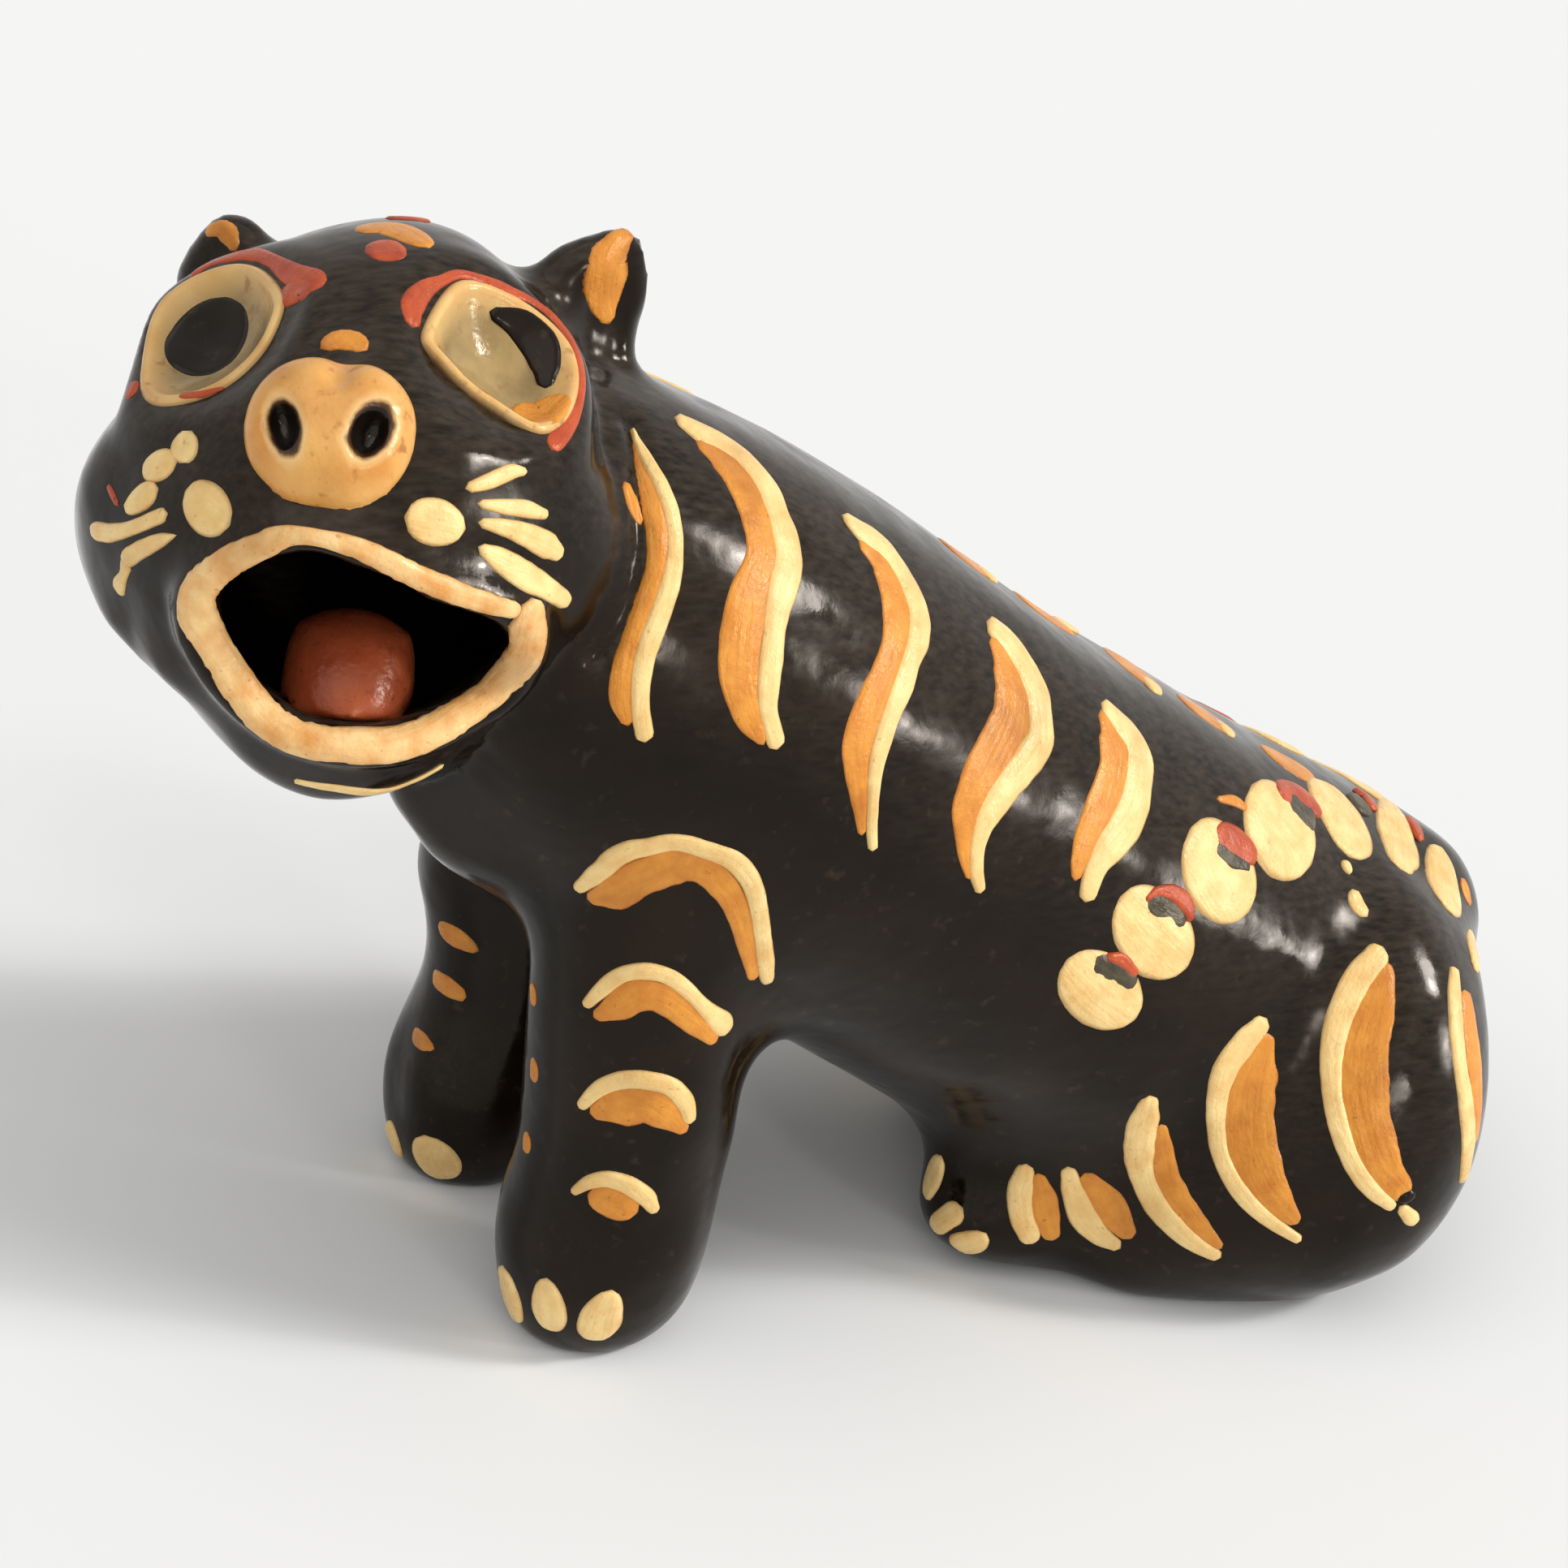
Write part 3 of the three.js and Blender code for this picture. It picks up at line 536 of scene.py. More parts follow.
LEFT_EYE_OUTLINE = [
    (518, 411), (542, 366), (563, 347), (591, 348), (650, 375), (696, 416), (711, 450), (712, 485),
    (698, 520), (678, 533), (655, 534), (609, 503), (574, 481), (542, 446), (524, 427),
]


def rim_frame(node, side):
    """A frame in the middle of a CAD cup's rim, with Z out of the face."""
    outwards = head_frame().to_3x3() @ direction(side, EYE_UP)
    corners = [vert.co for vert in nodes[node].data.vertices]
    height = max(corner.dot(outwards) for corner in corners) - EYE_PLANE_DROP
    middle = sum(corners, Vector()) / len(corners)
    middle += outwards * (height - middle.dot(outwards))
    level = outwards.cross(Vector((0, 0, 1))).normalized() * -1
    return frame_at(middle, level, outwards.cross(level), outwards)


def on_rim(pixel, rim):
    """Where the sight line of a pixel meets the plane of a rim, in the rim's own frame."""
    outwards = rim.to_3x3().col[2]
    ray = sight(pixel)
    reach = (rim.translation - EYE_POINT).dot(outwards) / ray.dot(outwards)
    return rim.inverted() @ (EYE_POINT + ray * reach)


def on_curve(before, start, end, after, share):
    """A point of the smooth curve from start to end, with the knots before and after them."""
    square = (2 * before - 5 * start + 4 * end - after) * share**2
    cube = (3 * start - before - 3 * end + after) * share**3
    return (2 * start + (end - before) * share + square + cube) / 2


def closed_curve(points, count):
    """Evenly numbered points on a smooth closed line through some points."""
    knots = np.array([tuple(point) for point in points])
    beside = [np.roll(knots, shift, 0) for shift in (1, 0, -1, -2)]
    run = []
    for step in np.linspace(0, len(knots), count, endpoint=False):
        index = int(step)
        run.append(on_curve(*[row[index] for row in beside], step - index))
    return np.array(run)


def cup_height(share):
    """Height of the eye over its plane, from the middle (0) over the rim's crest to its buried edge."""
    if share < RIM_SHARE:
        return -EYE_CUP_DEPTH * (1 - (share / RIM_SHARE) ** 2)
    slope = RIM_CREST - RIM_SHARE
    return EYE_RIM_HEIGHT * (1 - ((share - RIM_CREST) / slope) ** 2)


def bed_eye(skin, rim, edge, middle):
    """Presses the skin down under an eye, and draws it up to the rim all round."""
    to_rim = rim.inverted()
    turn = to_rim.to_3x3()
    angles = np.arctan2(edge[:, 1] - middle[1], edge[:, 0] - middle[0])
    reaches = np.hypot(edge[:, 0] - middle[0], edge[:, 1] - middle[1])
    moved = places(skin.data)
    for vert in skin.data.vertices:
        local = to_rim @ vert.co
        if local.length > EYE_ROOM or abs(local.z) > EYE_BED_DEPTH or (turn @ vert.normal).z < 0:
            continue
        across, up = local.x - middle[0], local.y - middle[1]
        reach = np.interp(math.atan2(up, across), angles, reaches, period=2 * math.pi)
        share = math.hypot(across, up) / reach
        if share < BED_SHARE:
            local.z = min(local.z, cup_height(share) - EYE_BED)
        else:
            nearness = min(max((COLLAR_SHARE - share) / (COLLAR_SHARE - 1), 0), 1)
            local.z += (COLLAR_HEIGHT - local.z) * nearness**2 * (3 - 2 * nearness)
        moved[vert.index] = rim @ local
    set_places(skin.data, moved)


def make_eye(name, node, side, outline, skin):
    """A pressed eye cup: a rolled rim with the photographed outline round a smooth hollow."""
    rim = rim_frame(node, side)
    edge = closed_curve([on_rim(pixel, rim) for pixel in outline], EYE_SPOKES)
    for _ in range(EDGE_ROUNDING):
        edge = (np.roll(edge, 1, 0) + 2 * edge + np.roll(edge, -1, 0)) / 4
    middle = edge.mean(axis=0)
    bed_eye(skin, rim, edge, middle)
    verts = [rim @ Vector((middle[0], middle[1], cup_height(0)))]
    shares = [0]
    for ring in range(1, EYE_RINGS + 1):
        share = BURIED_SHARE * ring / EYE_RINGS
        for point in edge:
            flat = middle + (point - middle) * share
            verts.append(rim @ Vector((flat[0], flat[1], cup_height(share))))
            shares.append(share)
    faces = [(0, 1 + spoke, 1 + (spoke + 1) % EYE_SPOKES) for spoke in range(EYE_SPOKES)]
    faces += belt_faces(1, EYE_RINGS, EYE_SPOKES)
    return new_piece(name, built(name, verts, faces, share=shares), "tan_slip", [node])


# Brushwork: each stroke is a low ribbon of slip that follows what it is painted on
STROKE_STEP = 0.6 * MM
STROKE_COLUMNS = 11
LEAST_ROWS = 8
CURVE_STEPS = 16  # from one point of a stroke to the next
STROKE_ROOT = 0.3 * MM  # how deep a stroke reaches below the surface
STROKE_EDGE = 0.05 * MM  # how far its edges dip below the surface
EDGE_POWER = 4  # how suddenly it falls off to its edges
STROKE_WOBBLE = 0.12  # share of the half width
HEIGHT_WOBBLE = 0.3  # share of the height
QUIVER_SHARE = 0.5  # of a quick tremble in a slow one
WOBBLE_LENGTH = 6 * MM
QUIVER_LENGTH = 1.8 * MM
STROKE_SEED = 7.3  # each stroke and each of its lines trembles in its own way
EDGE_SEEDS = (0.3, 5.3)
HEIGHT_SEED = 9.3
QUIVER_SEED = 0.5
STROKES_APART = 50  # millimetres between the streaks of one stroke and the next
SLENDER = 8  # half widths in the length of a stroke that wobbles fully
STROKE_SPREAD = 1.04  # makes up for the edge of a stroke that dips below the surface
LEAST_SLANT = 0.1
MOST_STRETCH = 2.4  # widest that a slanted surface makes a stroke
LEAST_REACH = 0.01 * MM  # of a round end
DAB_LENGTH = 4  # half widths in the length of the longest dab
TIP_SHARE = 0.05  # width left at the very tip
HUNT_STEP = 3  # pixels towards the middle of the figure, where a pixel misses it
BODY_PIXEL = (1000, 950)


class Canvas:
    """A surface that slip is painted on."""

    def __init__(self, piece):
        self.points = [vert.co.copy() for vert in piece.data.vertices]
        self.normals = [vert.normal.copy() for vert in piece.data.vertices]
        self.faces = [tuple(face.vertices) for face in piece.data.polygons]
        self.tree = BVHTree.FromPolygons(self.points, self.faces)

    def near(self, point):
        """The nearest place on the surface, and the smooth normal there."""
        place, _, index, _ = self.tree.find_nearest(point)
        normal = Vector()
        for corner in self.faces[index]:
            normal += self.normals[corner] / ((self.points[corner] - place).length + WELD_GAP)
        return place, normal.normalized()

    def seen(self, pixel):
        """The place that a pixel of the photograph shows, hunting inwards from outside the outline."""
        spot = Vector(pixel)
        inwards = (Vector(BODY_PIXEL) - spot).normalized() * HUNT_STEP
        place = None
        while place is None:
            place = self.tree.ray_cast(EYE_POINT, sight(spot))[0]
            spot += inwards
        return self.near(place)


def stretch(place, normal, across):
    """How much longer a line across the view is on a slanted surface."""
    ray = (place - EYE_POINT).normalized()
    slide = across - ray * (normal.dot(across) / min(normal.dot(ray), -LEAST_SLANT))
    return min(slide.length, MOST_STRETCH)


def stroke_line(canvas, pixels, spread):
    """Places and half widths of a stroke given in pixels, and how far its two round ends reach."""
    line, ends = [], []
    last = len(pixels) - 1
    for index, (x, y, half) in enumerate(pixels):
        place, normal = canvas.seen((x, y))
        before, after = pixels[max(index - 1, 0)], pixels[min(index + 1, last)]
        run = (RIGHT * (after[0] - before[0]) - UP * (after[1] - before[1])).normalized()
        across = run.cross(BACK)
        reach = half * spread * (EYE_POINT - place).dot(BACK) / FOCAL_LENGTH
        line.append((*place, reach * stretch(place, normal, across)))
        ends.append(reach * stretch(place, normal, run))
    return np.array(line), (ends[0], ends[-1])


def mirrored(canvas, line, shift):
    """The same stroke on the other side of the animal, shifted along it."""
    other = []
    for x, y, z, half in line:
        place, _ = canvas.near(Vector((2 * MIDDLE_PLANE - x, y + shift * MM, z)))
        other.append((*place, half))
    return np.array(other)


def past_end(end, inner, reach):
    """The end of a stroke moved on by a reach, with the same half width."""
    run = (end - inner)[:3]
    return np.append(end[:3] + run / np.linalg.norm(run) * reach, end[3])


def even_run(line, ends):
    """Evenly spaced rows on a smooth line through a stroke and its ends, and how far along they are."""
    first, last = past_end(line[0], line[1], ends[0]), past_end(line[-1], line[-2], ends[1])
    knots = np.vstack([first, line, last])
    padded = np.vstack([2 * knots[0] - knots[1], knots, 2 * knots[-1] - knots[-2]])
    fine = []
    for index in range(len(knots) - 1):
        for share in np.linspace(0, 1, CURVE_STEPS, endpoint=False):
            fine.append(on_curve(*padded[index:index + 4], share))
    fine = np.array([*fine, last])
    steps = np.linalg.norm(np.diff(fine[:, :3], axis=0), axis=1)
    along = np.concatenate([[0], np.cumsum(steps)])
    even = np.linspace(0, along[-1], max(int(along[-1] / STROKE_STEP), LEAST_ROWS) + 1)
    rows = np.stack([np.interp(even, along, column) for column in fine.T], axis=1)
    return rows, even


class Brush:
    """Gathers the strokes of one piece of brushwork."""

    def __init__(self, canvas, height, wobble):
        self.canvas = canvas
        self.height = height
        self.wobble = wobble
        self.verts, self.faces = [], []
        self.edge, self.along, self.across = [], [], []
        self.strokes = 0

    def stroke(self, line, ends):
        rows, along = even_run(line, ends)
        self.sway = self.wobble * min(along[-1] / (SLENDER * rows[:, 3].max()), 1)
        start = len(self.verts)
        halves = self.half_widths(rows[:, 3], along, ends)
        for index, row in enumerate(rows):
            before, after = rows[max(index - 1, 0)], rows[min(index + 1, len(rows) - 1)]
            run = Vector(after[:3] - before[:3])
            fullness = min(halves[index] / row[3], 1)
            self.row(Vector(row[:3]), run, halves[index], fullness, along[index])
        self.skin(start, len(rows))
        self.strokes += 1

    def half_widths(self, halves, along, ends):
        """Half widths of a stroke with round ends, or of a short dab that is an egg."""
        length, widest = along[-1], halves.max()
        if length < DAB_LENGTH * widest:
            halves = widest + (halves[-1] - halves[0]) * (along / length - 0.5)
            ends = (length / 2, length / 2)
        from_start = along / max(ends[0], LEAST_REACH)
        from_end = (length - along) / max(ends[1], LEAST_REACH)
        roundness = np.sqrt(1 - (1 - np.minimum(np.minimum(from_start, from_end), 1)) ** 2)
        return halves * np.maximum(roundness, TIP_SHARE)

    def beat(self, along, seed):
        """A slow and a quick tremble of the hand, for one line of the stroke."""
        own = STROKE_SEED * self.strokes
        slow = noise.noise(Vector((along / WOBBLE_LENGTH, own, seed)))
        quick = noise.noise(Vector((along / QUIVER_LENGTH, own, seed + QUIVER_SEED)))
        return slow + QUIVER_SHARE * quick

    def row(self, point, run, half, end_fullness, along):
        place, normal = self.canvas.near(point)
        side = normal.cross(run).normalized()
        widths = [half * (1 + self.sway * self.beat(along, seed)) for seed in EDGE_SEEDS]
        thickness = self.height * (1 + HEIGHT_WOBBLE * self.beat(along, HEIGHT_SEED))
        top, root = [], []
        for across in np.linspace(-1, 1, STROKE_COLUMNS):
            width = widths[0] if across < 0 else widths[1]
            under, out = self.canvas.near(place + side * (across * width))
            fullness = (1 - across**EDGE_POWER) * end_fullness
            rise = thickness * fullness - STROKE_EDGE * (1 - fullness)
            top.append(under + out * rise)
            root.append(under - out * STROKE_ROOT)
            self.edge.append(1 - fullness)
            self.across.append(across * half / MM)
        self.verts += top + root[::-1]
        self.edge += [1] * STROKE_COLUMNS
        self.across += [0] * STROKE_COLUMNS
        self.along += [along / MM + STROKES_APART * self.strokes] * (2 * STROKE_COLUMNS)

    def skin(self, start, count):
        """Faces all round a stroke's rows, and over its two ends."""
        loop = 2 * STROKE_COLUMNS
        self.faces += belt_faces(start, count, loop)
        for base in (start, start + (count - 1) * loop):
            for column in range(STROKE_COLUMNS - 1):
                top, root = base + column, base + loop - 1 - column
                self.faces.append((top, top + 1, root - 1, root))

    def piece(self, name, slot, replaced):
        values = {"edge": self.edge, "along": self.along, "across": self.across}
        return new_piece(name, built(name, self.verts, self.faces, **values), slot, replaced)


def painted(
    canvas, name, paint, strokes, mirror=None, alone=(),
    spread=STROKE_SPREAD, wobble=STROKE_WOBBLE, replaced=(),
):
    """One piece of brushwork from strokes given in pixels.

    Where a mirror shift is given, the strokes are on both sides, and those that stand alone on one.
    """
    slot, height = paint
    brush = Brush(canvas, height, wobble)
    for pixels in [*strokes, *alone]:
        line, ends = stroke_line(canvas, pixels, spread)
        brush.stroke(line, ends)
        if mirror is not None and pixels not in alone:
            brush.stroke(mirrored(canvas, line, mirror), ends)
    return brush.piece(name, slot, replaced)


# Paints: slot and height of a stroke
CREAM = ("cream_slip", 0.5 * MM)
THIN_CREAM = ("cream_slip", 0.25 * MM)
LIP = ("cream_slip", 0.7 * MM)
ORANGE = ("ochre_slip", 0.25 * MM)
ORANGE_WASH = ("ochre_slip", 0.1 * MM)
RED = ("red_slip", 0.25 * MM)
RED_CAP = ("red_slip", 0.58 * MM)  # over the cream petals
RED_WASH = ("red_slip", 0.1 * MM)
DARK_CAP = ("black_glaze", 0.58 * MM)
PUPIL = ("black_glaze", 0.45 * MM)
PUPIL_WOBBLE = 0.03
LIP_SPREAD = 1.32  # the band also bends over the sides of the coil

# Mirror shifts along the animal, in millimetres, from the left side to the right one
BODY_SHIFT = 0
FRONT_SHIFT = -5.6
HIND_SHIFT = 10

# Strokes, in pixels of the photograph: x, y and half width along the middle of each
TORSO_CREAM = [
    [(778, 530, 2), (793, 560, 8), (815, 600, 10), (829, 640, 10), (832, 680, 11), (826, 720, 13),
     (811, 760, 14), (797, 800, 14), (790, 840, 13), (789, 875, 12), (793, 903, 12)],
    [(836, 517, 6), (862, 532, 11), (888, 545, 10), (908, 558, 9), (927, 577, 10), (944, 600, 12),
     (956, 630, 13), (967, 660, 15), (971, 690, 17), (966, 720, 18), (958, 750, 16), (953, 780, 14),
     (949, 815, 15), (946, 850, 14), (947, 880, 12), (955, 912, 12)],
    [(1040, 637, 4), (1062, 656, 10), (1085, 672, 11), (1106, 699, 10), (1121, 726, 11), (1131, 755, 12),
     (1131, 785, 13), (1122, 815, 12), (1113, 845, 13), (1101, 875, 12), (1090, 905, 12), (1080, 940, 10),
     (1076, 975, 8), (1074, 1010, 7), (1075, 1043, 6)],
    [(1222, 772, 9), (1245, 795, 13), (1262, 822, 14), (1275, 850, 15), (1281, 880, 15), (1282, 910, 17),
     (1266, 938, 19), (1245, 963, 18), (1226, 990, 17), (1212, 1015, 13), (1204, 1045, 10),
     (1203, 1075, 9), (1207, 1094, 7)],
    [(1362, 872, 8), (1380, 892, 12), (1396, 912, 14), (1404, 935, 16), (1403, 960, 16), (1399, 985, 18),
     (1388, 1012, 21), (1370, 1038, 20), (1354, 1062, 15), (1344, 1085, 13), (1340, 1101, 11)],
]
TORSO_ORANGE = [
    [(783, 545, 4), (793, 580, 10), (803, 620, 14), (811, 660, 15), (809, 700, 15), (796, 740, 14),
     (781, 780, 15), (770, 820, 16), (766, 860, 16), (772, 885, 10)],
    [(862, 547, 6), (885, 561, 14), (907, 584, 17), (923, 612, 17), (935, 645, 19), (940, 680, 20),
     (932, 710, 22), (922, 740, 26), (917, 770, 27), (913, 800, 26), (912, 830, 26), (916, 860, 23),
     (925, 888, 18), (938, 912, 7)],
    [(1062, 670, 6), (1087, 693, 15), (1102, 725, 18), (1107, 760, 19), (1102, 795, 16), (1090, 830, 17),
     (1077, 862, 20), (1064, 895, 20), (1057, 925, 19), (1057, 960, 14), (1061, 1000, 9),
     (1062, 1025, 5)],
    [(1225, 790, 7), (1242, 821, 18), (1248, 857, 22), (1244, 890, 24), (1232, 918, 26), (1217, 945, 26),
     (1204, 972, 24), (1193, 998, 21), (1189, 1025, 13), (1188, 1055, 7), (1194, 1080, 4)],
    [(1360, 881, 8), (1372, 904, 17), (1376, 932, 21), (1371, 960, 19), (1362, 985, 20), (1350, 1010, 19),
     (1338, 1035, 16), (1330, 1060, 11), (1326, 1080, 6)],
    [(771, 597, 5), (779, 620, 8), (788, 643, 5)],
]
LEG_CREAM = [
    [(716, 1092, 9), (740, 1073, 13), (766, 1052, 13), (800, 1043, 11), (834, 1038, 11), (870, 1047, 11),
     (904, 1062, 13), (926, 1088, 13), (935, 1118, 12), (939, 1155, 11), (943, 1185, 11), (945, 1203, 9)],
    [(725, 1235, 8), (745, 1216, 11), (770, 1200, 10), (797, 1197, 10), (822, 1203, 10), (845, 1219, 10),
     (866, 1240, 10), (888, 1260, 16)],
    [(719, 1360, 8), (740, 1341, 11), (768, 1331, 12), (800, 1332, 12), (828, 1340, 12), (845, 1360, 12),
     (849, 1376, 9)],
    [(709, 1467, 6), (727, 1457, 9), (750, 1453, 11), (775, 1461, 12), (796, 1476, 12), (804, 1487, 9)],
]
LEG_ORANGE = [
    [(734, 1106, 11), (757, 1100, 23), (788, 1082, 24), (834, 1067, 22), (868, 1072, 19), (896, 1098, 18),
     (911, 1132, 15), (921, 1167, 12), (928, 1200, 8)],
    [(740, 1250, 10), (762, 1240, 20), (784, 1228, 21), (810, 1228, 18), (834, 1242, 18), (856, 1260, 17),
     (875, 1277, 11)],
    [(738, 1370, 12), (765, 1364, 26), (798, 1362, 24), (822, 1374, 22), (838, 1388, 11)],
    [(736, 1476, 13), (754, 1481, 21), (772, 1489, 15)],
]
FAR_LEG_ORANGE = [
    [(546, 1146, 8), (566, 1157, 11), (585, 1169, 6)],
    [(539, 1207, 8), (553, 1216, 10), (568, 1225, 8)],
    [(514, 1278, 8), (522, 1284, 9), (531, 1290, 5)],
    [(656, 1213, 3), (657, 1225, 5), (657, 1237, 3)],
    [(658, 1306, 3), (658, 1318, 5), (657, 1330, 3)],
    [(650, 1398, 3), (649, 1408, 5), (648, 1418, 3)],
]
CLAWS = [
    [(621, 1567, 8), (627, 1595, 12), (636, 1622, 5)],
    [(674, 1588, 13), (675, 1606, 19), (676, 1622, 19)],
    [(749, 1602, 13), (741, 1622, 25), (738, 1632, 22)],
    [(529, 1416, 18), (534, 1427, 24), (540, 1439, 18)],
    [(479, 1388, 6), (485, 1404, 9), (494, 1422, 4)],
]
HIND_CLAWS = [
    [(1158, 1430, 6), (1149, 1450, 10), (1142, 1470, 7)],
    [(1157, 1507, 15), (1172, 1497, 16)],
    [(1187, 1535, 11), (1198, 1531, 15), (1208, 1525, 9)],
]
HAUNCH_CREAM = [
    [(1414, 1362, 12), (1408, 1385, 19), (1404, 1412, 20), (1406, 1442, 17), (1418, 1472, 16),
     (1438, 1502, 15), (1464, 1527, 12), (1497, 1546, 8)],
    [(1553, 1264, 12), (1534, 1284, 16), (1514, 1310, 15), (1502, 1342, 13), (1498, 1380, 12),
     (1502, 1416, 11), (1515, 1448, 11), (1538, 1480, 11), (1566, 1506, 9), (1598, 1526, 6)],
    [(1694, 1180, 17), (1673, 1206, 20), (1652, 1249, 18), (1641, 1298, 15), (1642, 1348, 13),
     (1652, 1393, 13), (1669, 1437, 12), (1690, 1466, 11), (1712, 1484, 8)],
    [(1791, 1195, 4), (1792, 1225, 8), (1794, 1270, 9), (1800, 1318, 8), (1807, 1365, 8), (1809, 1412, 7),
     (1803, 1450, 5)],
    [(1731, 1493, 9), (1738, 1500, 11)],
]
PAW_CREAM = [[(1262, 1446, 13), (1257, 1468, 17), (1258, 1496, 16), (1268, 1521, 14)]]
KNEE_CREAM = [[(1318, 1448, 11), (1323, 1470, 15), (1335, 1498, 17), (1354, 1522, 13), (1374, 1534, 8)]]
HAUNCH_ORANGE = [
    [(1431, 1394, 9), (1434, 1425, 15), (1437, 1450, 17), (1450, 1478, 18), (1472, 1505, 15),
     (1500, 1534, 7)],
    [(1557, 1286, 14), (1545, 1320, 27), (1539, 1350, 30), (1537, 1385, 32), (1542, 1420, 33),
     (1556, 1455, 29), (1572, 1478, 22), (1592, 1500, 11)],
    [(1702, 1199, 17), (1692, 1247, 29), (1683, 1280, 31), (1679, 1318, 33), (1682, 1365, 32),
     (1693, 1407, 30), (1706, 1440, 27), (1721, 1460, 20)],
    [(1806, 1225, 6), (1812, 1270, 10), (1818, 1318, 9), (1821, 1365, 7), (1817, 1405, 4)],
    [(1503, 985, 4), (1522, 987, 6), (1535, 996, 4)],
    [(1801, 1084, 3), (1807, 1100, 5), (1811, 1114, 3)],
]
PAW_ORANGE = [[(1281, 1455, 10), (1286, 1476, 17), (1289, 1498, 18), (1294, 1517, 13)]]
KNEE_ORANGE = [[(1343, 1454, 11), (1358, 1476, 21), (1373, 1498, 20), (1387, 1517, 12)]]
HAUNCH_CHIP = [[(1728, 1476, 7), (1738, 1473, 7)]]
PETALS = [
    [(1343, 1210, 38), (1355, 1222, 46), (1368, 1232, 38)],
    [(1408, 1136, 40), (1421, 1150, 48), (1434, 1163, 40)],
    [(1490, 1055, 40), (1503, 1075, 46), (1516, 1092, 38)],
    [(1563, 995, 34), (1580, 1020, 44), (1593, 1036, 36)],
    [(1634, 973, 14), (1649, 999, 22), (1658, 1024, 22), (1661, 1044, 12)],
    [(1711, 992, 7), (1719, 1018, 13), (1723, 1042, 17), (1724, 1060, 10)],
    [(1770, 1046, 5), (1776, 1068, 11), (1780, 1092, 15), (1781, 1110, 9)],
    [(1812, 1152, 4), (1815, 1172, 8), (1817, 1192, 4)],
    [(1657, 1064, 5), (1661, 1074, 4)],
    [(1668, 1101, 6), (1672, 1114, 9), (1681, 1125, 6)],
]
PETAL_DARK = [
    [(1358, 1191, 17), (1371, 1199, 20), (1386, 1207, 15)],
    [(1422, 1114, 15), (1435, 1123, 19), (1449, 1132, 14)],
    [(1500, 1046, 10), (1516, 1060, 12), (1534, 1068, 7)],
    [(1592, 992, 13), (1603, 1001, 16), (1612, 1009, 12)],
]
RUMP_DARK = [[(1667, 982, 6), (1675, 992, 9), (1683, 1002, 6)]]
PETAL_RED = [
    [(1366, 1179, 6), (1382, 1184, 11), (1395, 1197, 8)],
    [(1410, 1108, 4), (1424, 1099, 7), (1444, 1101, 11), (1460, 1115, 11), (1465, 1131, 6)],
    [(1506, 1034, 15), (1521, 1041, 21), (1538, 1051, 13)],
    [(1578, 980, 6), (1596, 981, 9), (1613, 991, 11), (1621, 1004, 6)],
]
RUMP_RED = [
    [(1669, 975, 3), (1681, 982, 5), (1690, 996, 4)],
    [(1736, 1010, 3), (1743, 1022, 5), (1748, 1035, 3)],
]
WHISKERS = [
    [(524, 641, 25), (536, 643, 30), (553, 647, 21)],
    [(580, 600, 7), (602, 593, 10), (630, 581, 10), (644, 581, 6)],
    [(594, 621, 6), (620, 624, 10), (650, 628, 11), (669, 633, 7)],
    [(596, 645, 7), (620, 650, 11), (650, 660, 15), (676, 672, 17), (684, 678, 12)],
    [(596, 678, 8), (615, 690, 15), (645, 709, 18), (672, 724, 14), (692, 737, 12)],
    [(250, 623, 29), (259, 630, 29)],
    [(232, 540, 10), (226, 555, 16)],
    [(190, 576, 16), (202, 572, 17)],
    [(160, 625, 7), (173, 614, 13), (184, 608, 12)],
    [(122, 655, 11), (136, 657, 12), (160, 652, 9), (198, 636, 9)],
    [(160, 686, 11), (180, 674, 10), (200, 665, 8), (216, 660, 2)],
    [(156, 695, 6), (153, 708, 4), (147, 722, 7)],
]
BROWS = [
    [(508, 394, 10), (508, 377, 16), (522, 358, 15), (544, 346, 8), (566, 338, 6), (588, 343, 6),
     (612, 353, 9), (634, 361, 6), (656, 371, 4), (680, 389, 4), (700, 414, 4), (713, 443, 4),
     (717, 470, 5), (712, 498, 7), (701, 522, 11), (686, 543, 13)],
    [(236, 341, 3), (256, 327, 4), (283, 317, 5), (310, 313, 6), (336, 322, 9), (360, 338, 16),
     (382, 346, 16)],
    [(357, 371, 9), (363, 360, 15), (376, 351, 13)],
    [(166, 472, 3), (163, 480, 5), (160, 488, 4)],
    [(458, 310, 9), (475, 308, 14), (489, 306, 11)],
    [(478, 269, 4), (500, 267, 5), (528, 273, 4)],
    [(134, 598, 2), (139, 610, 3), (145, 622, 2)],
]
FACE_ORANGE = [
    [(444, 284, 7), (465, 280, 10), (490, 283, 12), (512, 294, 11), (525, 302, 6)],
    [(400, 427, 6), (415, 419, 12), (435, 420, 13), (446, 427, 8)],
    [(770, 288, 15), (760, 304, 25), (751, 322, 26), (745, 350, 23), (745, 374, 19), (748, 389, 11)],
    [(260, 283, 8), (272, 281, 13), (281, 289, 14), (288, 302, 8)],
]
CHIN_STRIPE = [[(365, 962, 3), (420, 972, 5), (475, 974, 5), (515, 960, 4), (545, 943, 3)]]
RIGHT_PUPIL = [[(257, 428, 44), (262, 418, 45), (267, 408, 44)]]
LEFT_PUPIL = [[(612, 388, 10), (640, 400, 20), (664, 425, 24), (672, 452, 19), (672, 466, 13)]]
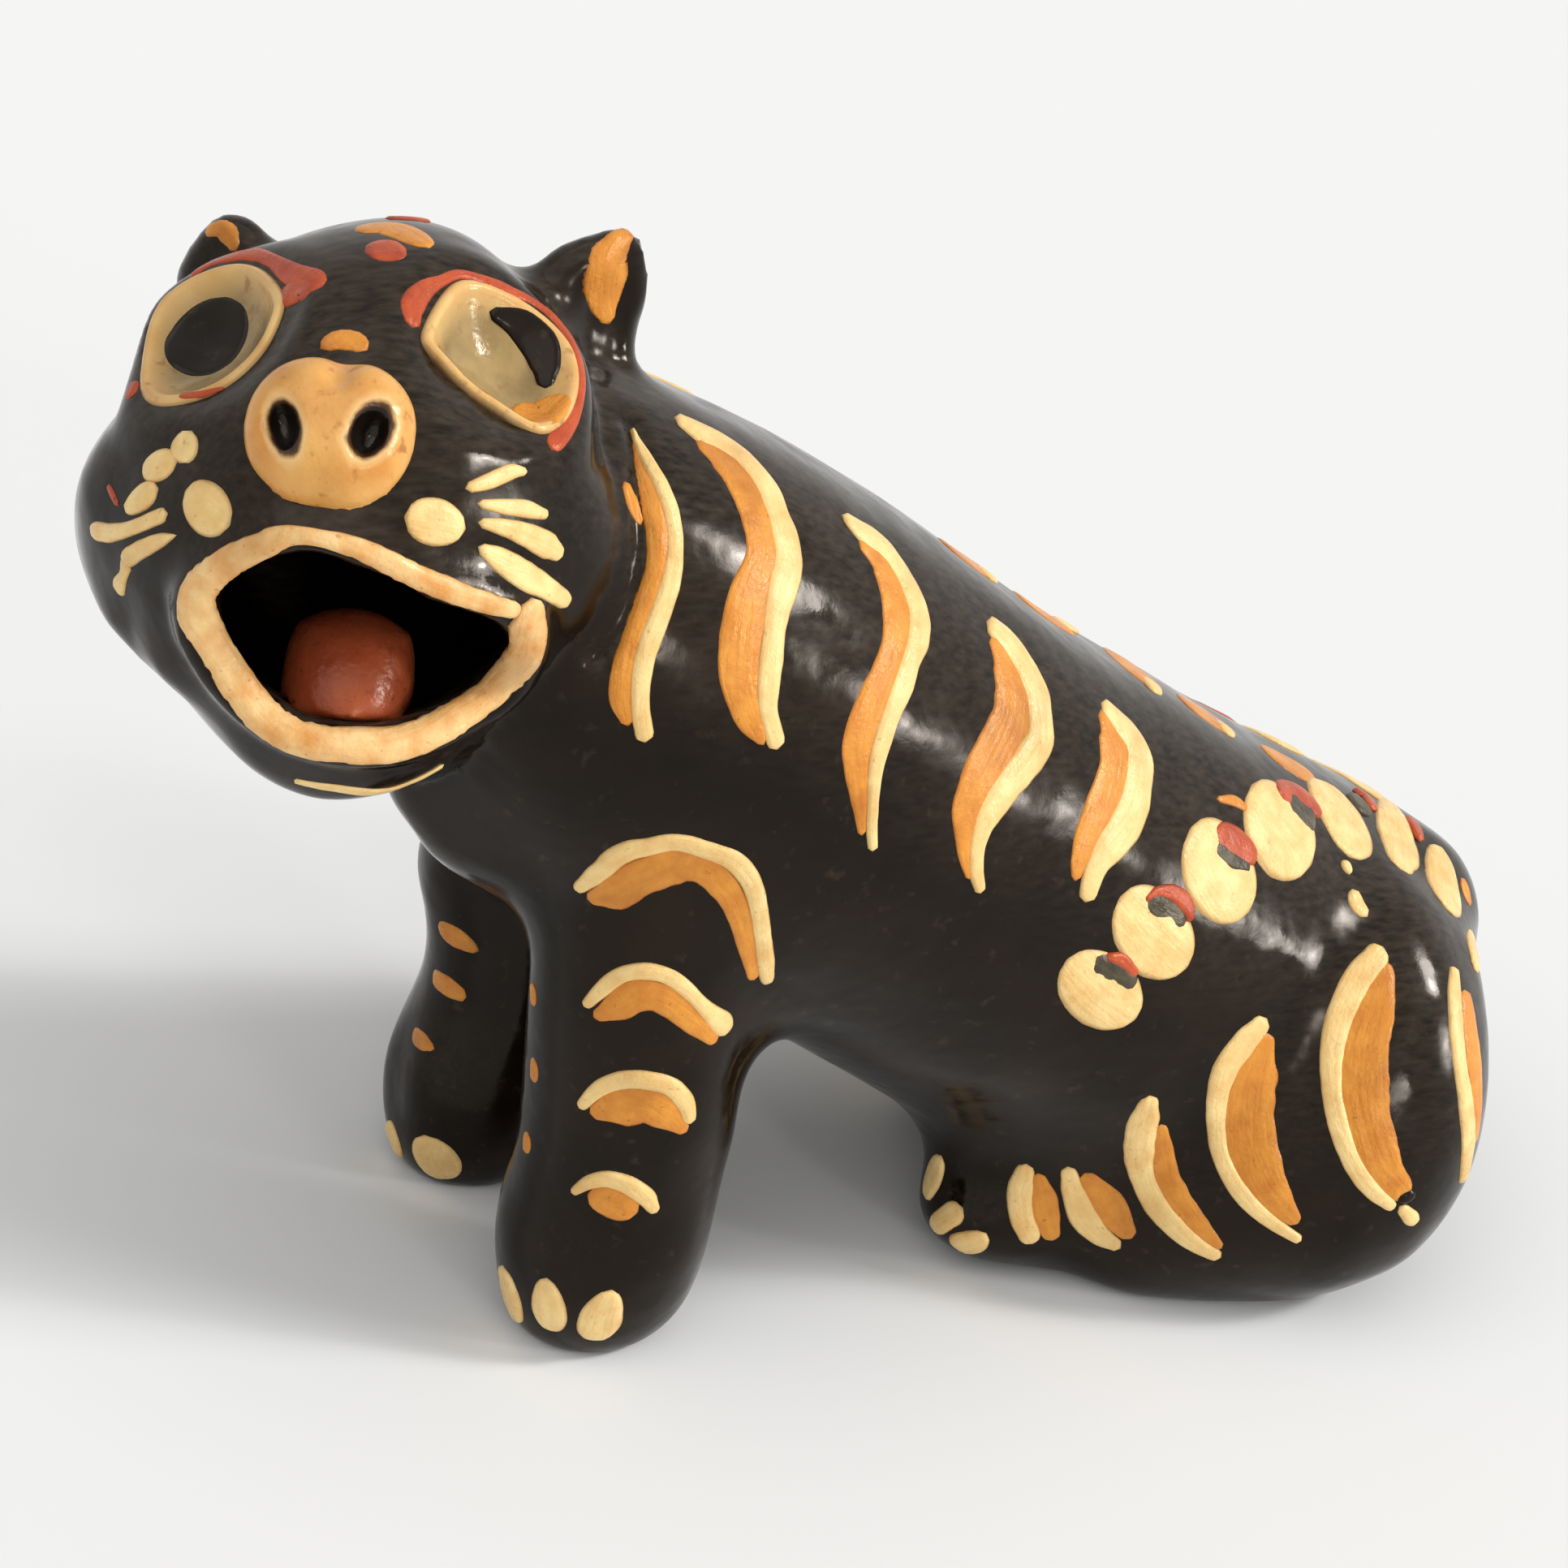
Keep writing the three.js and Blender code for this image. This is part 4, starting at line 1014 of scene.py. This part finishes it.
LIPS = [
    [(657, 752, 13), (654, 778, 21), (646, 808, 22), (620, 836, 22), (585, 868, 22), (545, 894, 24),
     (509, 910, 26), (467, 919, 27), (411, 918, 26), (366, 909, 27), (331, 888, 27), (303, 855, 27),
     (279, 815, 25), (257, 782, 24), (241, 752, 26), (249, 722, 26), (289, 690, 21), (335, 668, 15)],
    [(332, 668, 15), (352, 661, 12), (381, 661, 9), (432, 673, 11), (481, 695, 13), (531, 718, 13),
     (572, 735, 13), (630, 751, 9)],
]
LEFT_EYE_WASH = [[(640, 503, 9), (668, 511, 15), (692, 494, 12)]]
RIGHT_EYE_LINE = [[(222, 487, 3), (250, 485, 5), (276, 478, 3)]]
SPINE_CREAM = [
    [(1214, 703, 8), (1224, 710, 6)],
    [(1308, 768, 10), (1320, 776, 7)],
    [(1414, 842, 9), (1426, 850, 7)],
    [(1504, 895, 8), (1516, 903, 6)],
]
SPINE_MARKS = [
    [(1172, 672, 10), (1200, 688, 16), (1220, 702, 10)],
    [(1262, 732, 10), (1290, 752, 16), (1320, 772, 10)],
    [(1376, 808, 10), (1398, 826, 16), (1424, 846, 10)],
    [(1462, 866, 10), (1488, 882, 16), (1514, 900, 10)],
    [(1562, 926, 9), (1588, 941, 13), (1612, 953, 9)],
]

# Brushwork of the body: name, paint, strokes, mirror shift and the strokes of the seen side alone
BODY_PAINT = [
    ("torso_stripes_orange", ORANGE, TORSO_ORANGE, BODY_SHIFT),
    ("torso_stripes_cream", CREAM, TORSO_CREAM, BODY_SHIFT),
    ("leg_bands_orange", ORANGE, LEG_ORANGE, FRONT_SHIFT),
    ("leg_bands_cream", CREAM, LEG_CREAM, FRONT_SHIFT),
    ("far_leg_dashes", ORANGE, FAR_LEG_ORANGE),
    ("front_claws", CREAM, CLAWS),
    ("hind_claws", CREAM, HIND_CLAWS, HIND_SHIFT),
    ("haunch_stripes_orange", ORANGE, HAUNCH_ORANGE, BODY_SHIFT),
    ("haunch_stripes_cream", CREAM, HAUNCH_CREAM, BODY_SHIFT),
    ("hind_bands_orange", ORANGE, PAW_ORANGE, HIND_SHIFT, KNEE_ORANGE),
    ("hind_bands_cream", CREAM, PAW_CREAM, HIND_SHIFT, KNEE_CREAM),
    ("haunch_chip", DARK_CAP, HAUNCH_CHIP),
    ("garland_petals", CREAM, PETALS, BODY_SHIFT),
    ("garland_dark", DARK_CAP, PETAL_DARK, BODY_SHIFT, RUMP_DARK),
    ("garland_red", RED_CAP, PETAL_RED, BODY_SHIFT, RUMP_RED),
    ("spine_marks", ORANGE, SPINE_MARKS),
    ("spine_dabs", CREAM, SPINE_CREAM),
]


def paint_face(canvas, left_eye, right_eye):
    left_cup, right_cup = Canvas(left_eye), Canvas(right_eye)
    return [
        painted(canvas, "lip_band", LIP, LIPS, spread=LIP_SPREAD, replaced=["lip_ring"]),
        painted(left_cup, "left_eye_wash", ORANGE_WASH, LEFT_EYE_WASH),
        painted(right_cup, "right_eye_line", RED_WASH, RIGHT_EYE_LINE),
        painted(canvas, "whiskers", CREAM, WHISKERS),
        painted(canvas, "brows", RED, BROWS),
        painted(canvas, "face_marks", ORANGE, FACE_ORANGE),
        painted(canvas, "chin_stripe", THIN_CREAM, CHIN_STRIPE),
        painted(left_cup, "left_pupil", PUPIL, LEFT_PUPIL, wobble=PUPIL_WOBBLE),
        painted(right_cup, "right_pupil", PUPIL, RIGHT_PUPIL, wobble=PUPIL_WOBBLE),
    ]


# Colours as they look on a screen, 0 to 255: slip where it is pale, deep and thin
CREAM_SHADES = ((252, 219, 150), (236, 190, 118), (170, 130, 76))
ORANGE_SHADES = ((228, 152, 58), (206, 126, 44), (140, 74, 26))
RED_SHADES = ((196, 84, 44), (168, 62, 32), (96, 36, 20))
DARK_SHADES = ((90, 82, 62), (42, 37, 29), (20, 15, 11))
LIP_SHADES = ((248, 208, 144), (226, 160, 88), (150, 98, 50))
TONGUE_SHADES = ((168, 80, 44), (146, 62, 34), (90, 36, 22))
NOSE_SHADES = ((236, 178, 100), (214, 146, 72), (160, 96, 44))
EYE_CUP = ((128, 106, 66), (180, 152, 100))
EYE_RIM = ((236, 196, 128), (214, 160, 92))
EYE_STAIN = (140, 92, 48)
EYE_EDGE = (60, 42, 26)
GLAZE = ((13, 9, 6), (30, 21, 14))
# Painted sheen: a lighter glaze colour for up-facing surfaces that stands in for the reflection of the
# bright room
GLAZE_TOP_SHEEN = (92, 79, 65)
GLAZE_DUST = (60, 50, 40)

# Nostril shades from the outside in: share at the inner and outer end, strength and colour
NOSTRIL_SHADES = [
    (1.05, 1.5, 0.7, (248, 212, 150)),
    (0.95, 1.15, 1, (104, 66, 34)),
    (0.8, 1.02, 1, (20, 15, 11)),
]

# Materials
GLAZE_IOR = 1.45
GLAZE_SPECULAR = 0.22
SLIP_SPECULAR = 0.4
GLAZE_TINT = (1, 0.88, 0.76, 1)
TOP_SHEEN_SHARE = 0.45  # share of the painted sheen colour, which stands in for reflected room light, on surfaces that face up
STREAK_SCALE = (1, 0.3, 1)
BRISTLE_SCALE = (0.12, 0.9, 1)
RAGGED = 0.15  # of the nostrils' edges
MIX_COLOURS = (6, 7)  # sockets of a node that mixes colours
MIX_RESULT = 2


def srgb(red, green, blue):
    """A colour as it looks on a screen, turned into linear light."""
    channels = [value / 255 for value in (red, green, blue)]
    linear = [c / 12.92 if c <= 0.04045 else ((c + 0.055) / 1.055) ** 2.4 for c in channels]
    return (*linear, 1)


class Shading:
    """The node tree of a material or a world, with short ways to add to it."""

    def __init__(self, owner):
        owner.use_nodes = True
        self.tree = owner.node_tree

    def feed(self, socket, value):
        if isinstance(value, bpy.types.NodeSocket):
            self.tree.links.new(value, socket)
        else:
            socket.default_value = value

    def node(self, kind, **inputs):
        made = self.tree.nodes.new("ShaderNode" + kind)
        for name, value in inputs.items():
            self.feed(made.inputs[name.replace("_", " ")], value)
        return made

    def calculate(self, operation, one, other):
        made = self.node("Math")
        made.operation = operation
        self.feed(made.inputs[0], one)
        self.feed(made.inputs[1], other)
        return made.outputs["Value"]


class Finish(Shading):
    """The finish of a material."""

    def __init__(self, name):
        self.material = bpy.data.materials.new(name)
        super().__init__(self.material)
        self.place = self.node("TexCoord").outputs["Object"]

    def value(self, name):
        """A number kept for each vertex."""
        made = self.node("Attribute")
        made.attribute_name = name
        return made.outputs["Fac"]

    def spread(self, value, low, high, to_low=0, to_high=1):
        made = self.node(
            "MapRange", Value=value, From_Min=low, From_Max=high, To_Min=to_low, To_Max=to_high
        )
        return made.outputs["Result"]

    def cloud(self, size, detail, vector=None):
        """Soft noise whose lumps are about one size across, in millimetres."""
        made = self.node("TexNoise", Vector=vector or self.place, Scale=1 / (size * MM), Detail=detail)
        return made.outputs["Fac"]

    def scaled(self, vector, scale):
        return self.node("Mapping", Vector=vector, Scale=scale).outputs["Vector"]

    def from_above(self, share, most):
        """A share that counts only where the surface faces up."""
        normal = self.node("NewGeometry").outputs["Normal"]
        rise = self.node("SeparateXYZ", Vector=normal).outputs["Z"]
        return self.calculate("MULTIPLY", share, self.spread(rise, low=0.05, high=0.8, to_high=most))

    def mix(self, share, *colours):
        """A mix of two colours, each made by a node or as it looks on a screen."""
        made = self.node("Mix")
        made.data_type = "RGBA"
        self.feed(made.inputs[0], share)
        for number, colour in zip(MIX_COLOURS, colours):
            self.feed(made.inputs[number], srgb(*colour) if isinstance(colour, tuple) else colour)
        return made.outputs[MIX_RESULT]

    def patched(self, colour, other, size, detail, low, high, most=1):
        """A colour with soft patches of another, where noise of a size lies between low and high."""
        return self.mix(self.spread(self.cloud(size, detail), low, high, to_high=most), colour, other)

    def roughness(self, size, detail, least, most):
        return self.spread(self.cloud(size, detail), low=0.3, high=0.75, to_low=least, to_high=most)

    def bump(self, height, depth, under=None):
        """Relief of a depth in millimetres, over another relief."""
        made = self.node("Bump", Height=height, Distance=depth * MM)
        if under:
            self.feed(made.inputs["Normal"], under)
        return made.outputs["Normal"]

    def finish(self, colour, roughness, normal, specular=SLIP_SPECULAR):
        shader = self.tree.nodes["Principled BSDF"].inputs
        self.feed(shader["Base Color"], colour)
        self.feed(shader["Roughness"], roughness)
        self.feed(shader["Normal"], normal)
        shader["IOR"].default_value = GLAZE_IOR
        shader["Specular IOR Level"].default_value = specular
        shader["Specular Tint"].default_value = GLAZE_TINT
        return self.material


def black_glaze(name, top_sheen):
    """Black-brown glaze with a painted sheen: lighter in fine streaks where the surface faces up,
    standing in for light reflected from above, and with small dust patches.
    """
    finish = Finish(name)
    colour = finish.patched(*GLAZE, size=16, detail=5, low=0.35, high=0.7)
    streaks = finish.cloud(size=0.9, detail=6, vector=finish.scaled(finish.place, STREAK_SCALE))
    streaks = finish.spread(streaks, low=0.3, high=0.8)
    # Painted sheen: the lighter colour, in fine streaks on up-facing surfaces, stands in for reflected
    # light
    colour = finish.mix(finish.from_above(streaks, top_sheen), colour, GLAZE_TOP_SHEEN)
    colour = finish.patched(colour, GLAZE_DUST, size=2.2, detail=6, low=0.62, high=0.75, most=0.5)
    roughness = finish.roughness(size=5, detail=6, least=0.08, most=0.26)
    peel = finish.bump(finish.cloud(size=1.6, detail=3), depth=0.02)
    pool = finish.bump(finish.cloud(size=9, detail=2), depth=0.3, under=peel)
    return finish.finish(colour, roughness, pool, GLAZE_SPECULAR)


def slip(name, pale, deep, thin):
    """Brushed slip: streaked along the stroke, deeper in patches and thin at its edges."""
    finish = Finish(name)
    run = finish.node("CombineXYZ", X=finish.value("along"), Y=finish.value("across")).outputs["Vector"]
    bristles = finish.scaled(run, BRISTLE_SCALE)
    streaks = finish.node("TexNoise", Vector=bristles, Scale=1, Detail=4).outputs["Fac"]
    colour = finish.patched(pale, deep, size=3.5, detail=5, low=0.35, high=0.7)
    colour = finish.mix(finish.spread(streaks, low=0.5, high=0.75, to_high=0.5), colour, deep)
    colour = finish.patched(colour, thin, size=11, detail=4, low=0.55, high=0.75, most=0.4)
    colour = finish.mix(finish.spread(finish.value("edge"), low=0.45, high=1, to_high=0.8), colour, thin)
    colour = finish.patched(colour, thin, size=0.9, detail=4, low=0.66, high=0.74, most=0.5)
    roughness = finish.roughness(size=2.5, detail=5, least=0.2, most=0.45)
    grain = finish.bump(finish.cloud(size=0.7, detail=4), depth=0.12)
    return finish.finish(colour, roughness, finish.bump(streaks, depth=0.25, under=grain))


def eye_slip():
    """Thin tan slip in a cup, pale on the rim and dark where the rim is buried."""
    finish = Finish("tan slip")
    share = finish.value("share")
    wash = finish.spread(finish.cloud(size=6, detail=5), low=0.3, high=0.7)
    cup, rim = finish.mix(wash, *EYE_CUP), finish.mix(wash, *EYE_RIM)
    colour = finish.mix(finish.spread(share, low=0.62, high=0.9), cup, rim)
    colour = finish.patched(colour, EYE_STAIN, size=2.2, detail=6, low=0.6, high=0.72, most=0.6)
    colour = finish.mix(finish.spread(share, low=0.98, high=1.04, to_high=0.9), colour, EYE_EDGE)
    roughness = finish.roughness(size=3, detail=4, least=0.12, most=0.3)
    return finish.finish(colour, roughness, finish.bump(finish.cloud(size=2.5, detail=4), depth=0.2))


def mottled(finish, pale, deep, dark):
    """Colour of slip over a modelled piece, where it ran thick and thin."""
    colour = finish.patched(pale, deep, size=7, detail=6, low=0.35, high=0.68)
    return finish.patched(colour, dark, size=1.8, detail=6, low=0.6, high=0.74, most=0.7)


def nose_slip():
    """Ochre slip that is paler round the nostrils and black inside them."""
    finish = Finish("nose slip")
    colour = mottled(finish, *NOSE_SHADES)
    fray = finish.spread(finish.cloud(size=1.6, detail=2), low=0, high=1, to_low=-RAGGED, to_high=RAGGED)
    ragged = finish.calculate("ADD", finish.value("nostril"), fray)
    for inner, outer, strength, shade in NOSTRIL_SHADES:
        near = finish.spread(ragged, inner, outer, to_low=strength, to_high=0)
        colour = finish.mix(near, colour, shade)
    roughness = finish.roughness(size=3, detail=5, least=0.14, most=0.34)
    grain = finish.bump(finish.cloud(size=0.8, detail=4), depth=0.06)
    swell = finish.bump(finish.cloud(size=4, detail=3), depth=0.25, under=grain)
    return finish.finish(colour, roughness, swell)


def tongue_slip():
    finish = Finish("tongue slip")
    roughness = finish.roughness(size=3, detail=5, least=0.16, most=0.4)
    grain = finish.bump(finish.cloud(size=0.8, detail=4), depth=0.08)
    swell = finish.bump(finish.cloud(size=4, detail=3), depth=0.3, under=grain)
    return finish.finish(mottled(finish, *TONGUE_SHADES), roughness, swell)


def dress(piece, material):
    piece.data.materials.clear()
    piece.data.materials.append(material)


def dress_paint(paint):
    """Gives each piece of brushwork the slip of its slot, or one of its own."""
    by_slot = {
        "cream_slip": slip("cream slip", *CREAM_SHADES),
        "ochre_slip": slip("orange slip", *ORANGE_SHADES),
        "red_slip": slip("red slip", *RED_SHADES),
        "black_glaze": slip("dark slip", *DARK_SHADES),
    }
    # Black glaze without the painted sheen from above
    sheenless_black = black_glaze("black glaze without top sheen", top_sheen=0)
    by_name = {
        "lip_band": slip("lip slip", *LIP_SHADES),
        "left_pupil": sheenless_black,
        "right_pupil": sheenless_black,
        "haunch_chip": sheenless_black,
    }
    for piece in paint:
        dress(piece, by_name.get(piece.name, by_slot[piece["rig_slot"]]))


# Stage: a pale floor, and far soft lamps with azimuth, elevation and width in degrees, and strength
FLOOR_SIZE = 8
FLOOR_COLOUR = (0.93, 0.93, 0.92, 1)
FLOOR_ROUGHNESS = 0.9
ROOM_COLOUR = (1, 1, 1, 1)
ROOM_LIGHT = 0.3
LAMPS = {
    "window": (158, 36, 14, 1.3),
    "window pane": (158, 36, 4, 0.35),
    "low window": (147, 14, 12, 0.6),
    "low window pane": (147, 14, 4, 0.25),
    "side window": (105, 13, 9, 0.4),
    "ceiling": (40, 62, 70, 1.0),
}


def make_floor():
    mesh = bpy.data.meshes.new("floor")
    half = FLOOR_SIZE / 2
    corners = [(-half, -half, 0), (half, -half, 0), (half, half, 0), (-half, half, 0)]
    mesh.from_pydata(corners, [], [(0, 1, 2, 3)])
    floor = linked("floor", mesh)
    material = bpy.data.materials.new("pale floor")
    shader = Shading(material).tree.nodes["Principled BSDF"].inputs
    shader["Base Color"].default_value = FLOOR_COLOUR
    shader["Roughness"].default_value = FLOOR_ROUGHNESS
    shader["Specular IOR Level"].default_value = 0
    mesh.materials.append(material)


def make_lamp(name, azimuth, elevation, width, strength):
    """A far soft light, seen from the object as a disc."""
    lamp = bpy.data.lights.new(name, "SUN")
    lamp.angle = math.radians(width)
    lamp.energy = strength
    source = direction(math.radians(azimuth), math.radians(elevation))
    linked(name, lamp).rotation_euler = source.to_track_quat("Z", "Y").to_euler()


def make_room():
    """A dim white room, which is seen in the floor's colour."""
    world = bpy.data.worlds.new("room")
    room = Shading(world)
    shown = room.tree.nodes["Background"]
    shown.inputs["Color"].default_value = FLOOR_COLOUR
    lighting = room.node("Background", Color=ROOM_COLOUR, Strength=ROOM_LIGHT)
    path = room.node("LightPath").outputs
    seen = room.calculate("MAXIMUM", path["Is Camera Ray"], path["Is Glossy Ray"])
    seen = room.calculate("MAXIMUM", seen, path["Is Transmission Ray"])
    choice = room.node("MixShader", Fac=seen)
    room.feed(choice.inputs[1], lighting.outputs["Background"])
    room.feed(choice.inputs[2], shown.outputs["Background"])
    room.feed(room.tree.nodes["World Output"].inputs["Surface"], choice.outputs["Shader"])
    bpy.context.scene.world = world


bpy.context.scene.view_settings.view_transform = "Standard"
make_camera()
skin = clay_skin()
nose = face_copy("nose_lobes", "ochre_slip", "nose_pad", NOSE_WIPES)
tongue = face_copy("tongue_mound", "red_slip", "tongue", TONGUE_WIPES)
rubbed(skin, SKIN_RUBS)
polished(skin)
touched(skin, SKIN_TOUCHES)
touched(nose, NOSE_TOUCHES)
polished(nose)
mark_nostrils(nose)
squared_off(tongue)
left_eye = make_eye("left_eye", "left_eye_cup", EYE_SIDE, LEFT_EYE_OUTLINE, skin)
right_eye = make_eye("right_eye", "right_eye_cup", -EYE_SIDE, RIGHT_EYE_OUTLINE, skin)
rubbed(skin, EYE_RUBS)
glaze = Canvas(skin)
paint = [painted(glaze, *row) for row in BODY_PAINT]
paint += paint_face(glaze, left_eye, right_eye)

dress(skin, black_glaze("black glaze", TOP_SHEEN_SHARE))
cups = eye_slip()
dress(left_eye, cups)
dress(right_eye, cups)
dress(nose, nose_slip())
dress(tongue, tongue_slip())
dress_paint(paint)
make_floor()
make_room()
for name, lamp in LAMPS.items():
    make_lamp(name, *lamp)
